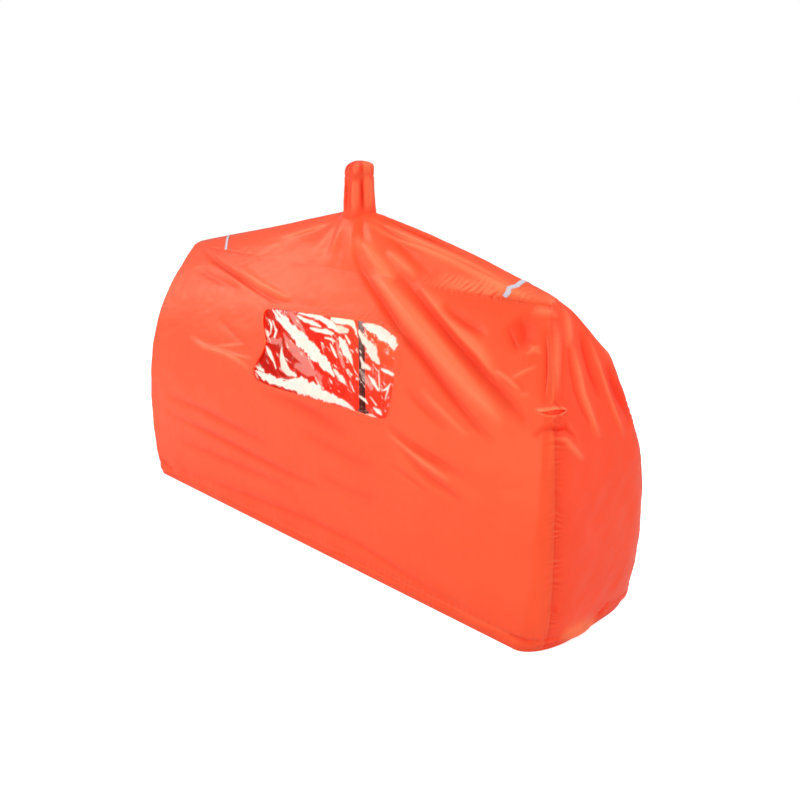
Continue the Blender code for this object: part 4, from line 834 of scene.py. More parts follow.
def cut_prism(made, outline, near, far):
    """Cuts a hole through a piece, the prism that an outline makes between two shifts."""
    count = len(outline)
    faces = [list(range(count)), list(range(2 * count - 1, count - 1, -1))]
    faces += [[i, (i + 1) % count, count + (i + 1) % count, count + i] for i in range(count)]
    hole = plain_piece("hole", np.concatenate([outline + near, outline + far]), [], faces)
    face_outwards(hole)
    step = made.modifiers.new("hole", "BOOLEAN")
    step.operation = "DIFFERENCE"
    step.solver = "MANIFOLD"
    step.object = hole
    baked(made)
    bpy.data.objects.remove(hole, do_unlink=True)
    face_outwards(made)


def cut_window(made, grow=0.0):
    x, z = window_outline(grow).T
    cut_prism(made, stacked(x, 0.0, z), *(FORWARD * reach for reach in WINDOW_CUT))


# The slit nearly closes in use, and its outer end hangs higher
SLIT = 0.0085
SLIT_TILT = 0.06
# How far the cutting prisms reach, inwards and outwards
SLIT_CUT = (-0.055, 0.05)
WINDOW_CUT = (-0.4, -0.03)


def cut_vent(made):
    middle, out, wide = vent_frame()
    share = np.linspace(-1.0, 1.0, 21)
    upper = [(s * VENT_WIDTH / 2, SLIT / 2 * (1.0 - s * s)) for s in share]
    lens = np.array(upper + [(a, -b) for a, b in upper[-2:0:-1]])
    a, b = lens.T[..., None]
    cut_prism(made, middle + wide * a + UP * (b + SLIT_TILT * a),
              *(out * reach for reach in SLIT_CUT))


# Window film


FILM_COLUMNS = 280
FILM_ROWS = 136
FILM_DEPTH = 0.0050
FILM_THICK = 0.0003
CRUMPLE = 0.0021
FINE_CRUMPLE = 0.35
CRUMPLE_MARGIN = 0.06
GLARE_EDGE = 0.0026
# Each painted reflection on the film, and each faint milky patch: its strength, then x, z and half
# width in millimetres
GLARES = (
    (1, -190, 565, 1.6, -158, 548, 3.7, -130, 540, 9.8, -87, 525, 16.4, -42, 506, 18.5, -4, 490,
     18.3, 32, 478, 15.1, 59, 469, 11, 78, 458, 5.2, 88, 451, 1.4),
    (1, -177, 565, 1.3, -150, 556, 3.7, -124, 546, 8.6),
    (1, -211, 407, 2.5, -170, 399, 11.3, -127, 399, 11.7, -74, 398, 10.3, -35, 406, 21.5, -8, 405,
     21.3, 31, 403, 18.1, 69, 400, 14.4, 105, 399, 10.8, 142, 395, 5.6, 170, 388, 1.1),
    (0.85, -122, 482, 1.8, -116, 459, 8, -104, 441, 12.8, -80, 429, 9.7, -49, 426, 3.6),
    (0.9, -195, 539, 1.9, -178, 527, 3.8, -176, 507, 2.5),
    (0.9, -177, 538, 1.9, -154, 518, 2.8, -155, 503, 3.7),
    (0.9, -201, 514, 1.6, -185, 503, 6.3),
    (0.9, -184, 475, 2.5, -165, 462, 8.1, -143, 444, 2.8, -131, 429, 2.2),
    (1, -85, 571, 1.5, -42, 571, 3.9, -4, 572, 5.3, 21, 566, 7.6, 50, 558, 6.4, 65, 552, 2.9),
    (1, -89, 564, 1.2, -60, 558, 5.1, -28, 556, 5, 5, 552, 1.8),
    (0.95, -31, 543, 1.5, 0, 542, 4.7, 29, 543, 5.2, 54, 543, 2.3),
    (0.8, 27, 529, 1.2, 45, 530, 2.3, 66, 528, 1.7),
    (0.8, 36, 575, 2.9, 54, 575, 6.9, 82, 576, 8.6, 107, 576, 6.8, 124, 563, 3.9, 130, 553, 1.7),
    (0.4, 49, 561, 2.9, 72, 555, 9.7, 97, 557, 6.8),
    (0.9, 78, 539, 2.3, 93, 526, 9.7, 112, 513, 10.2, 131, 498, 5.6, 140, 489, 1.7),
    (0.8, 96, 547, 1.1, 116, 532, 3.1),
    (0.8, 52, 519, 1.4, 67, 508, 4.9, 85, 494, 1.4),
    (0.85, 82, 466, 1.7, 104, 456, 8.5, 120, 447, 5.1, 128, 441, 1.1),
    (0.8, 125, 474, 1.1, 144, 465, 2.2),
    (0.8, 141, 449, 1.1, 157, 431, 1.4),
    (0.75, 134, 562, 2.2, 151, 549, 5.6, 172, 537, 12.7, 194, 522, 14.3, 215, 509, 6.6, 224, 504,
     1.1),
    (0.75, 160, 508, 1.7, 177, 492, 6.6, 199, 489, 3.3),
    (1, 144, 577, 2.2, 168, 575, 10, 196, 572, 12.6, 220, 566, 16.4, 243, 556, 15.1, 261, 547, 7.5,
     265, 540, 1.6),
    (1, 233, 494, 1.6, 249, 492, 4.6, 266, 490, 4, 276, 489, 1.1),
    (0.95, 197, 474, 1.1, 214, 463, 6, 232, 449, 2.2),
    (0.9, 225, 490, 0.8, 232, 467, 1.1, 237, 449, 1.4),
    (1, 245, 449, 1.1, 259, 456, 3.5, 266, 468, 1.1),
    (1, 263, 459, 1.6, 261, 434, 0.8),
    (1, 177, 423, 1.1, 198, 418, 3.6, 207, 413, 1.1),
    (1, 230, 408, 1.4, 245, 404, 6, 256, 399, 1.9),
    (1, 208, 389, 1.1, 227, 390, 3.3, 242, 389, 0.8),
    (0.9, 212, 429, 0.8, 236, 416, 1.4),
    (1, -218, 420, 1.3, -204, 417, 4.1, -179, 414, 3.1),
    (0.9, -108, 408, 1.2, -76, 409, 1.8, -50, 419, 3),
    (0.15, -121, 571, 3.1, -98, 555, 12.2, -67, 541, 8.4, -45, 528, 1.8),
    (0.14, -125, 515, 2.5, -96, 490, 13.4, -39, 473, 15.5, 8, 456, 8.2),
    (0.13, -57, 450, 9, -17, 445, 14.2, 22, 445, 5.9),
    (0.13, -184, 489, 6.9, -135, 496, 8, -118, 481, 3.1),
    (0.11, 20, 452, 3.5, 38, 439, 8.7, 28, 420, 2.3),
    (0.15, 71, 529, 2.3, 90, 505, 6.8, 115, 479, 4),
    (0.15, 166, 481, 2.8, 187, 467, 9.4, 212, 449, 5.5),
    (0.11, -152, 555, 3.1, -130, 563, 7.4, -99, 575, 6.1),
)


def crumple_tree(seed, count):
    """Flat facets between places thrown by chance over the window, as a surface to read."""
    chance = np.random.default_rng(seed)
    wide, tall = WINDOW_WIDTH / 2 + CRUMPLE_MARGIN, WINDOW_TALL / 2 + CRUMPLE_MARGIN
    places = chance.uniform((-wide, -tall), (wide, tall), (count, 2))
    lean = places @ np.array([[0.80, 0.45], [-0.60, 0.90]])
    corners = [Vector(p) for p in np.clip(lean, (-wide, -tall), (wide, tall))]
    flat, _, triangles, *_ = delaunay_2d_cdt(corners, [], [], 0, 1e-5)
    heights = chance.uniform(-1.0, 1.0, len(flat))
    solid = [(p[0] + WINDOW_X, h, p[1] + WINDOW_Z) for p, h in zip(flat, heights)]
    return BVHTree.FromPolygons(solid, [tuple(t) for t in triangles])


def facet_heights(seed, count, base):
    """Heights of a crumpled surface under a grid of wall places."""
    tree = crumple_tree(seed, count)
    heights = []
    for x, _, z in base.reshape(-1, 3):
        hit = tree.ray_cast(Vector((x, -9.0, z)), Vector((0.0, 1.0, 0.0)))[0]
        heights.append(0.0 if hit is None else hit.y)
    return np.reshape(heights, base.shape[:2])


def wall_across(x, level):
    """The front wall's station for a length along it at a level."""
    left, right = end_reach(level, False), end_reach(level, True)
    half = (right + left) / 2 - corner_long(level)
    return (x - (right - left) / 2) / half * STRAIGHT_SHARE


def film_grid():
    wide, tall = WINDOW_WIDTH / 2 + WINDOW_MARGIN, WINDOW_TALL / 2 + WINDOW_MARGIN
    x, z = np.meshgrid(np.linspace(WINDOW_X - wide, WINDOW_X + wide, FILM_COLUMNS + 1),
                       np.linspace(WINDOW_Z - tall, WINDOW_Z + tall, FILM_ROWS + 1))
    across, level = wall_across(x, level_at(z)), level_at(z)
    return side_wall(across, level), wall_facing(side_wall, across, level)


def add_film(finish):
    base, facing = film_grid()
    crumple = facet_heights(4, 90, base) + FINE_CRUMPLE * facet_heights(5, 420, base)
    away = window_distance(base)
    lift = CRUMPLE * crumple * smooth_step(-away / 0.012 + 0.25) - FILM_DEPTH
    lift = lift + smooth_step(away / 0.006) * np.minimum(skin_lift(base), 0.0)
    add_sheet("window_film_sheet", "window_film", finish, "window_film", base, facing, lift,
              FILM_THICK, change=(paint_glare,))


def streak_share(flat, ragged, path):
    """How far each place lies inside a streak that gets wider and narrower along its path."""
    share = np.zeros(len(flat))
    for start, end in zip(path[:-1], path[1:]):
        run = end - start
        along = ((flat - start[:2]) @ run[:2]) / (run[:2] @ run[:2])
        along = np.clip(along, 0.0, 1.0)[:, None]
        off = np.hypot(*(flat - start[:2] - along * run[:2]).T)
        half = 0.84 * (start[2] + along[:, 0] * run[2]) * (1.0 + 0.15 * ragged)
        share = np.maximum(share, smooth_step(0.5 + (half - off) / GLARE_EDGE))
    return share


def paint_glare(made):
    """Marks the film's painted reflections and faint milky patches, as a value from 0 to 1 on its
    points.
    """
    count = len(made.data.vertices)
    places = np.zeros(count * 3)
    made.data.vertices.foreach_get("co", places)
    places = places.reshape(-1, 3) * (1.0, 0.0, 1.0)
    ragged = ripple(places, 0.026, 51, 30) + 0.5 * ripple(places, 0.009, 52, 40)
    glare = np.zeros(count)
    for strength, *path in GLARES:
        path = np.reshape(path, (-1, 3)) / 1000
        glare = np.maximum(glare, strength * streak_share(places[:, (0, 2)], ragged, path))
    attribute = made.data.attributes.new("glare", "FLOAT", "POINT")
    attribute.data.foreach_set("value", np.clip(glare, 0.0, 1.0))


# Roof and chimney


def once_round(front, right, left):
    """Joins the runs of the four sides, with the front's mirror for the rear."""
    return np.concatenate([front[:-1], right[:-1], (front * MIRROR)[::-1][:-1], left[:-1]])


def roof_ring():
    """Places once round the roof's edge, the same as the walls have along their tops."""
    ends = even_stations(END_STRAIGHT_SHARE, ROOF_END_COLUMNS, ROOF_ARC_COLUMNS)
    right, left = (surface(line, 1.0) * PLAN + UP * SEAM_HEIGHT
                   for surface, line in ((end_wall, ends), (left_wall, ends[::-1])))
    ring = once_round(side_wall(front_stations(), 1.0), right, left)
    return ring[:len(ring) // 2 * 2]


def roof_facing(edge, along):
    """Upward direction of the roof, eased into the seam's direction at its edge."""
    step = 1e-3
    ring = np.roll(edge, -1, 0) - np.roll(edge, 1, 0)
    ahead = roof_point(edge + ring * 0.05, along) - roof_point(edge - ring * 0.05, along)
    inward = roof_point(edge, min(along + step, 1.0)) - roof_point(edge, max(along - step, 0.0))
    facing = unit(np.cross(ahead, inward))
    facing = facing * np.where(facing[..., 2:3] < 0, -1.0, 1.0)
    reach = np.hypot(edge[:, 0] - CHIMNEY_X, edge[:, 1]) * along
    near_edge = (1.0 - smooth_step(reach / 0.022))[:, None]
    near_top = smooth_step((along - 0.9) / 0.1)
    facing = facing * (1.0 - near_top) + UP * near_top
    return unit(facing * (1.0 - near_edge) + seam_direction(roof_point(edge, 0.0)) * near_edge)


# Direction in degrees, height in millimetres and width in degrees of each pleat of the roof
PLEATS = ((-6, 4.0, 2.0), (-11, -3.5, 2.5), (-24, 3.6, 6.0), (-38, -2.6, 5.0), (-60, 3.0, 9.0),
          (-95, -2.4, 10.0), (-120, 2.6, 9.0), (-150, 3.5, 8.0), (-171, 3.5, 3.0), (24, 4.0, 7.0),
          (60, -3.0, 9.0), (100, 2.8, 12.0), (155, 3.5, 9.0), (172, -2.8, 3.0))


def pleat_lift(edge, along):
    """Pleats that run out from the foot of the chimney."""
    heading = np.degrees(np.arctan2(edge[..., 1], edge[..., 0] - CHIMNEY_X))
    total = sum(height / 1000 * bell(heading - way, width) for way, height, width in PLEATS)
    return total * (4.0 * along * (1.0 - along)) ** 1.5


# The roof's cut, an oval with a hole in it
ROOF_LONG = 1.370
ROOF_WIDE = 0.230


def add_roof(finish):
    edge = roof_ring()
    share = np.linspace(0.0, 1.0, ROOF_ROWS + 1)
    share = 0.35 * share + 0.65 * share ** 1.7
    ahead = unit(np.roll(edge, -1, 0) - np.roll(edge, 1, 0))
    inset = edge + stacked(-ahead[:, 1], ahead[:, 0], 0.0) * SEAM_GAP
    base = roof_point(inset[None], share[:, None] * np.ones(len(edge)))
    facing = np.stack([roof_facing(edge, float(s)) for s in share])
    lift, painted_shading = skin_form(base)
    pleats = pleat_lift(edge[None], share[:, None])
    # The pleats also get painted highlight on their tops and painted shade in their hollows
    lift, painted_shading = lift + pleats, np.clip(painted_shading + 0.35 * pleats / PAINTED_SHADE_DEPTH, -1.0, 1.0)
    calm = smooth_step((1.0 - share) / 0.04)[:, None]
    return add_sheet("roof_cloth", "roof_panel", finish, "cloth", base, facing, lift * calm, CLOTH,
                     closed=True, flat=(ROOF_LONG, ROOF_WIDE), painted_shading=painted_shading * calm)


# Share of the chimney's height at which its neck is stitched
NECK_SHARE = 1.0 - CHIMNEY_NECK_DROP / CHIMNEY_HEIGHT
# Depth, direction, width in radians and lean of each long crease of the vent tube
CHIMNEY_CREASES = ((-0.0034, -2.42, 0.17, 0.05), (-0.0060, -0.57, 0.12, 0.02),
                   (-0.0056, -1.86, 0.15, -0.03), (0.0030, -1.05, 0.24, 0.04),
                   (-0.0018, -1.40, 0.08, 0.03), (0.0024, -0.20, 0.35, 0.00),
                   (-0.0026, 0.60, 0.18, 0.04), (-0.0040, 1.60, 0.16, -0.04),
                   (-0.0034, 2.60, 0.18, 0.03))
CHIMNEY_GATHERS = 13
CHIMNEY_CLOSE = 6.5
CHIMNEY_SHADE_DEPTH = 0.0042
CHANNEL_THICK = 0.0007
CHANNEL_GAP = 0.0020


def around(count):
    """Directions once round, in radians."""
    return np.linspace(0.0, math.tau, count + 1)[:-1]


def tube_place(turn, radius, z):
    return stacked(CHIMNEY_X + radius * np.cos(turn), radius * np.sin(turn), z)


def chimney_radius(turn, share):
    """Outer radius of the vent tube, share 0 at its foot and 1 at its gathered mouth."""
    foot = CHIMNEY_RADIUS - CHIMNEY_FOOT_GAP
    straight = foot + (CHIMNEY_NECK - foot) * np.clip(share / NECK_SHARE, 0.0, 1.0)
    close = np.clip((share - NECK_SHARE) / (1.0 - NECK_SHARE), 0.0, 1.0)
    lean = 1.0 + 0.35 * np.cos(turn - 0.6)
    radius = straight + (CHIMNEY_MOUTH - CHIMNEY_NECK) * close ** (CHIMNEY_CLOSE * lean)
    tall = 4.0 * share * (1.0 - share)
    for count, depth, phase in CHIMNEY_FOLDS:
        radius = radius + 0.5 * depth * np.cos(count * turn + phase) * tall
    reach = smooth_step(3.0 * share) * tall ** 0.5 * (1.0 - 0.85 * bell(share - NECK_SHARE, 0.10))
    for depth, place, width, slant in CHIMNEY_CREASES:
        off = (turn - place - slant * share + math.pi) % math.tau - math.pi
        radius = radius + depth * bell(off, width) * reach
    gathers = np.cos(CHIMNEY_GATHERS * turn + 0.9 * np.sin(3.0 * turn))
    return radius + 0.0022 * gathers * close ** 0.8 * (1.0 - 0.75 * close)


def add_chimney(finish):
    turn = around(CHIMNEY_COLUMNS)
    share = np.linspace(0.0, 1.0, CHIMNEY_ROWS + 1)[:, None]
    foot = CHIMNEY_BASE - CHIMNEY_DIP * np.sin(turn) ** 2 - CHIMNEY_TUCK
    z = foot + (CHIMNEY_BASE + CHIMNEY_HEIGHT - foot) * share
    radius = chimney_radius(turn, share) - 0.0010 * bell(share - NECK_SHARE, 0.02)
    rough = 0.0003 * ripple(tube_place(turn, radius, z), 0.03, 61) * np.sin(share * math.pi)
    close = smooth_step((share - NECK_SHARE) / (1.0 - NECK_SHARE))
    facing = unit(stacked(np.cos(turn) * (1.0 - close), np.sin(turn) * (1.0 - close), close))
    # Painted shade in the tube's creases and a little painted highlight on its bulges
    painted_shading = (radius - radius.mean(1, keepdims=True)) / CHIMNEY_SHADE_DEPTH
    return add_sheet("chimney_cloth", "chimney_vent", finish, "cloth",
                     tube_place(turn, radius + rough, z), facing, 0.0, CLOTH,
                     closed=True, painted_shading=np.clip(painted_shading, -1.0, 0.5))


def add_channel(finish):
    """The tape inside the chimney's neck that the drawcord runs in."""
    turn = around(96)
    middle = CHIMNEY_HEIGHT - CHIMNEY_NECK_DROP - CHANNEL_HEIGHT / 2
    inner = chimney_radius(turn, middle / CHIMNEY_HEIGHT) - CLOTH - CHIMNEY_CORD - CHANNEL_GAP
    rise = np.linspace(-0.5, 0.5, 9)[:, None]
    radius = inner + 0.0004 * np.cos(rise * math.pi) + 0.0002 * np.cos(31 * turn)
    base = tube_place(turn, radius, CHIMNEY_BASE + middle + rise * CHANNEL_HEIGHT)
    add_sheet("chimney_channel_tape", "chimney_channel", finish, "cloth", base,
              stacked(np.cos(turn), np.sin(turn), 0.0), 0.0, CHANNEL_THICK, closed=True)


# Ground line


# Room round the cord in the hem's channel
CORD_ROOM = 0.0006
HEM_BORE = HEM_CORD + CORD_ROOM
HEM_CORNER = 0.0007
HEM_SLIT = 0.0012
# The seams' play at the folded channel's two ends
HEM_END_PLAY = 0.0005
SEAT_THICK = 0.0009


def ground_stations(share, straight_steps, arc_steps):
    arc = np.linspace(share, 1.0, arc_steps + 1)
    return np.concatenate([-arc[::-1], np.linspace(-share, share, straight_steps + 1)[1:-1], arc])


def ground_run(surface, stations):
    """Places of a wall's foot on the ground, with the inward direction at each."""
    zero = np.zeros(len(stations))
    return surface(stations, zero) * PLAN, unit(-wall_facing(surface, stations, zero + 0.2) * PLAN)


def swept(loop, inward, profile, waves):
    """Points and faces of a profile of (inward, up) pairs carried along plan places."""
    count, sides = len(loop), len(profile)
    a, b = np.array(profile).T
    a = a - waves[:, None] * (b > 0.001)
    points = loop[:, None] + inward[:, None] * a[..., None] + UP * b[:, None]
    corners = ringed(np.arange(count * sides).reshape(count, sides))
    faces = quads(corners).tolist() + [corners[0, :-1].tolist(), corners[-1, -2::-1].tolist()]
    return points, faces


def hem_profile():
    """The folded edge: a flattened tube round the cord, open by a slit where it is stitched."""
    wall, corner = HEM_WALL, HEM_CORNER
    wide, inner, top = HEM_BORE + 2 * wall, wall + HEM_BORE, 2 * wall + HEM_BORE
    return ((corner, 0.0), (wide - corner, 0.0), (wide, corner), (wide, inner - HEM_SLIT),
            (wide - wall, inner - HEM_SLIT), (wide - wall, wall), (wall, wall), (wall, inner),
            (wide, inner), (wide, top - corner), (wide - corner, top), (wall, top),
            (wall, HEM_HEIGHT), (0.0, HEM_HEIGHT), (0.0, corner))


def add_hem(name, node, finish, surface, share, steps):
    stations = ground_stations(share, *steps)
    stations[0] += HEM_END_PLAY
    stations[-1] -= HEM_END_PLAY
    loop, inward = ground_run(surface, stations)
    waves = 0.0004 + 0.0003 * ripple(loop, 0.03, 71)
    made = add_mesh(name, node, finish, "cloth", *swept(loop, inward, hem_profile(), waves))
    length = float(np.linalg.norm(np.diff(loop, axis=0), axis=1).sum())


def ground_loop():
    """The whole outline on the ground and its inward directions, from the front left corner."""
    side, end = ground_stations(STRAIGHT_SHARE, 60, 12), ground_stations(END_STRAIGHT_SHARE, 10, 16)
    runs = ((side_wall, side), (end_wall, end), (left_wall, end[::-1]))
    return [once_round(*parts) for parts in zip(*(ground_run(*run) for run in runs))]


def add_seat(name, node, finish, sign):
    """A ground sheet at one end, from its straight inner edge to the hem."""
    loop, inward = ground_loop()
    inner = loop + inward * (HEM_BORE + 2 * HEM_WALL + 0.0006)
    rim = inner[(inner[:, 0] * sign > SEAT_REACH - 0.02) & (inner[:, 1] > 0.0)]
    rim = rim[np.argsort(rim[:, 0] * sign)]
    u = np.linspace(SEAT_REACH, rim[-1, 0] * sign - 0.0004, 61)
    half = np.interp(u, rim[:, 0] * sign, rim[:, 1])
    base = stacked(sign * u, np.linspace(-1.0, 1.0, 41)[:, None] * half * 0.998, 0.0012)
    lift = 0.0002 + 0.0004 * (1.0 + np.clip(ripple(base, 0.06, 81), -1.0, 1.0))
    add_sheet(name, node, finish, "seat_cloth", base, UP, lift, SEAT_THICK)


# Seams, tapes, patches and hood


# The strips as sewn, with their turned edges, and what an inner tape keeps off the cloth
TAPE_SEEN_WIDTH = 0.0115
INNER_GAP = 0.0012
STRIP_THICK = 0.0005
PATCH_THICK = 0.0006
FRAME_INSET = 0.004


def add_binding(name, node, finish, right, rear, low, high):
    """The tape sewn inside a corner seam."""
    level = np.linspace(low, high, 121)[:, None] * np.ones(7)
    turn = math.pi / 4 + np.linspace(-0.5, 0.5, 7) * BINDING_WIDTH / corner_span(level)
    base, facing = corner_skin(right, rear, turn, level)
    lift = np.minimum(lowest_near(skin_lift(base), 2, False), 0.0) - CLOTH - INNER_GAP
    add_sheet(name, node, finish, "seam_tape", base, facing, lift, TAPE)


def height_tree(sheet):
    """A closed sheet as a surface that heights can be read from."""
    ring = ringed(sheet)
    corners = np.arange(ring[..., 0].size).reshape(ring.shape[:2])
    return BVHTree.FromPolygons(ring.reshape(-1, 3).tolist(), quads(corners).tolist())


def roof_half_width(x):
    middle, half = (RIDGE_RIGHT - RIDGE_LEFT) / 2, (RIDGE_RIGHT + RIDGE_LEFT) / 2 - TOP_CORNER
    return ROOF_HALF_WIDTH + SEAM_BOW * (1.0 - min(abs(x - middle) / half, 1.0) ** 2)


def heights_over(tree, xs, ys):
    """Heights of the roof at plan places, read a little further in past its edge."""
    found = np.full(xs.shape, SEAM_HEIGHT)
    for place in np.ndindex(xs.shape):
        for shrink in (1.0, 0.98, 0.95, 0.9):
            above = Vector((xs[place], ys[place] * shrink, 2.0))
            hit = tree.ray_cast(above, Vector((0.0, 0.0, -1.0)))[0]
            if hit is not None:
                found[place] = hit.z
                break
    return found


def add_tape(name, node, finish, ridge_x, seam_x, tree, swing):
    """A reflective strip sewn over the roof; swing is the share in which it reaches its place."""
    half = roof_half_width(seam_x) - 0.0015
    ys = np.linspace(-half, half, 97)[:, None] * np.ones(9)
    share = np.clip((1.0 - abs(ys) / half) / swing, 0.0, 1.0)
    side = np.linspace(-0.5, 0.5, 9)
    xs = seam_x + (ridge_x - seam_x) * share + side * TAPE_SEEN_WIDTH
    lift = np.broadcast_to(0.0009 + 0.0002 * np.cos(side * math.pi), xs.shape)
    base = stacked(xs, ys, heights_over(tree, xs, ys))
    return add_sheet(name, node, finish, "reflective_tape", base, UP, lift,
                     STRIP_THICK)


def add_patch(name, node, finish, x, tree):
    """The stiff round patch under the roof over an end pole's head."""
    radius, turn = np.linspace(PATCH_HOLE, PATCH_RADIUS, 13)[:, None], around(48)
    xs, ys = x + radius * np.cos(turn), radius * np.sin(turn)
    base = stacked(xs, ys, heights_over(tree, xs, ys) - CLOTH - INNER_GAP)
    add_sheet(name, node, finish, "seam_tape", base, UP, 0.0, PATCH_THICK, closed=True)


def add_hood(finish):
    """The pocket behind the vent slit."""
    level = level_at(VENT_HEIGHT)
    spread = (VENT_WIDTH / 2 + 0.003) / corner_span(level)
    across, rise = np.meshgrid(np.linspace(-1, 1, 61), np.linspace(-1, 1, 31))
    turn = math.pi / 4 + across * spread
    levels = level + rise * VENT_HOOD / (SEAM_HEIGHT - HEM_HEIGHT)
    base, facing = corner_skin(True, False, turn, levels)
    away = 1.0 - across ** 4
    deep = VENT_HOOD_DEPTH * away * (1.0 - rise ** 4)
    lift = -(CLOTH + 0.0030 + deep + 0.0006 * ripple(base, 0.02, 91) * away)
    add_sheet("vent_hood_cloth", "vent_hood", finish, "cloth", base, facing, lift, TAPE)


def add_window_binding(finish):
    """The flat cloth frame behind the film's edge."""
    behind = -FILM_DEPTH - 2.0 * CRUMPLE - 0.0010
    _, points, faces = two_sided(*film_grid(), behind, STRIP_THICK)
    made = add_mesh("window_binding_frame", "window_binding", finish, "seam_tape", points, faces)
    cut_window(made, FRAME_INSET)
    hole = window_outline(FRAME_INSET)
    wide, tall = WINDOW_WIDTH + 2 * WINDOW_MARGIN, WINDOW_TALL + 2 * WINDOW_MARGIN
    after = np.roll(hole, -1, 0)
    inside = abs(hole[:, 0] @ after[:, 1] - after[:, 0] @ hole[:, 1]) / 2
    girth = float(np.linalg.norm(after - hole, axis=1).sum())
    float(wide * tall - inside) / girth


# Stitches


# What a stitch stands above its cloth
THREAD_LIFT = 0.0003
ROOF_STITCH_DROPS = (0.006, 0.014)
WINDOW_STITCH_ROWS = (0.004, 0.0105)
CORNER_STITCH_ROWS = (-0.0045, 0.0045)
# Pitch and length, and for the strips the thickness too, where they aren't the usual ones
NECK_STITCH = (0.0036, 0.0024)
STRIP_STITCH = (0.0030, 0.0020, 0.0004)


def stitch_tree():
    """Geometry nodes that lay stitches end to end along a path."""
    tree = bpy.data.node_groups.new("stitches", "GeometryNodeTree")
    for label, kind in (("Path", "Geometry"), ("Pitch", "Float"), ("Length", "Float"),
                        ("Thickness", "Float"), ("Thread", "Material")):
        tree.interface.new_socket(label, in_out="INPUT", socket_type="NodeSocket" + kind)
    tree.interface.new_socket("Geometry", in_out="OUTPUT", socket_type="NodeSocketGeometry")
    given, result = tree.nodes.new("NodeGroupInput"), tree.nodes.new("NodeGroupOutput")
    curve, points, bead, lay, real, thread, smooth = (
        tree.nodes.new("GeometryNode" + kind)
        for kind in ("MeshToCurve", "CurveToPoints", "MeshUVSphere", "InstanceOnPoints",
                     "RealizeInstances", "SetMaterial", "SetShadeSmooth"))
    size = tree.nodes.new("ShaderNodeCombineXYZ")
    points.mode = "LENGTH"
    for label, value in (("Segments", 6), ("Rings", 4), ("Radius", 0.5)):
        bead.inputs[label].default_value = value
    for source, output, target, entry in (
            (given, "Path", curve, "Mesh"), (curve, "Curve", points, "Curve"),
            (given, "Pitch", points, "Length"), (given, "Thickness", size, "X"),
            (given, "Thickness", size, "Y"), (given, "Length", size, "Z"),
            (points, "Points", lay, "Points"), (points, "Rotation", lay, "Rotation"),
            (bead, "Mesh", lay, "Instance"), (size, "Vector", lay, "Scale"),
            (lay, "Instances", real, "Geometry"), (real, "Geometry", thread, "Geometry"),
            (given, "Thread", thread, "Material"), (thread, "Geometry", smooth, "Geometry"),
            (smooth, "Geometry", result, "Geometry")):
        tree.links.new(source.outputs[output], target.inputs[entry])
    return tree


STITCHES = stitch_tree()


def add_stitches(name, paths, finish, pitch=STITCH_PITCH, length=STITCH_LENGTH,
                 thick=STITCH_THICK):
    """Stitches along the given paths as one plain mesh."""
    starts = np.cumsum([0] + [len(path) for path in paths])
    edges = [(i, i + 1) for start, end in zip(starts, starts[1:]) for i in range(start, end - 1)]
    made = plain_piece(name, np.concatenate(paths), edges, [])
    step = made.modifiers.new("stitches", "NODES")
    step.node_group = STITCHES
    values = {"Pitch": pitch, "Length": length, "Thickness": thick, "Thread": finish}
    for socket in STITCHES.interface.items_tree:
        if socket.in_out == "INPUT" and socket.name in values:
            step[socket.identifier] = values[socket.name]
    baked(made)
    enrol(made, "seam_tape")


def on_skin(place, facing):
    """Places on the cloth with its folds, for stitches to lie on."""
    return place + facing * (skin_lift(place) + THREAD_LIFT)[..., None]


def level_run(surface, level):
    across, level = np.linspace(-0.995, 0.995, 400), np.full(400, level)
    return on_skin(surface(across, level), wall_facing(surface, across, level))


def window_stitch_path(grow):
    outline = window_outline(grow, 12)
    x, z = np.concatenate([outline, outline[:1]]).T
    across, level = wall_across(x, level_at(z)), level_at(z)
    return on_skin(side_wall(across, level), wall_facing(side_wall, across, level))


def corner_stitch_path(right, rear, off):
    level = np.linspace(0.04, 0.985, 300)
    if right and not rear:
        level = level[abs(wall_height(level) - VENT_HEIGHT) > 0.012]
    return on_skin(*corner_skin(right, rear, math.pi / 4 + off / corner_span(level), level))


def chimney_stitch_path(outer, drop):
    """A row of stitches round the neck, on the outside of the drawcord's channel."""
    z = CHIMNEY_BASE + CHIMNEY_HEIGHT - CHIMNEY_NECK_DROP - drop
    ring = np.array([[np.interp(z, line[:, 2], line[:, k]) for k in range(3)]
                     for line in ringed(outer).swapaxes(0, 1)])
    return ring + unit((ring - (CHIMNEY_X, 0.0, 0.0)) * PLAN) * THREAD_LIFT


def add_all_stitches(chimney, finish):
    for side, surface in (("front", side_wall), ("rear", rear_wall), ("left", left_wall),
                          ("right", end_wall)):
        run = level_run(surface, level_at(HEM_SEAM_HEIGHT))
        add_stitches(side + "_hem_stitches", [run], finish)
    for side, surface in (("front", side_wall), ("rear", rear_wall)):
        rows = [level_run(surface, 1.0 - drop) for drop in ROOF_STITCH_DROPS]
        add_stitches(side + "_roof_seam_stitches", rows, finish)
    add_stitches("window_stitches", [window_stitch_path(g) for g in WINDOW_STITCH_ROWS], finish)
    for right, end in enumerate(("left", "right")):
        for rear, side in enumerate(("front", "rear")):
            rows = [corner_stitch_path(right, rear, off) for off in CORNER_STITCH_ROWS]
            add_stitches("%s_%s_corner_stitches" % (side, end), rows, finish)
    rows = [chimney_stitch_path(chimney, drop) for drop in (0.0, CHANNEL_HEIGHT)]
    add_stitches("chimney_neck_stitches", rows, finish, *NECK_STITCH)


# Finishes


def feed(tree, socket, value):
    """Links a value or socket into a socket, or sets a plain number or colour on it."""
    if isinstance(value, (Value, bpy.types.NodeSocket)):
        tree.links.new(getattr(value, "socket", value), socket)
    elif socket.type == "RGBA":
        socket.default_value = (*value, 1.0)
    else:
        socket.default_value = value


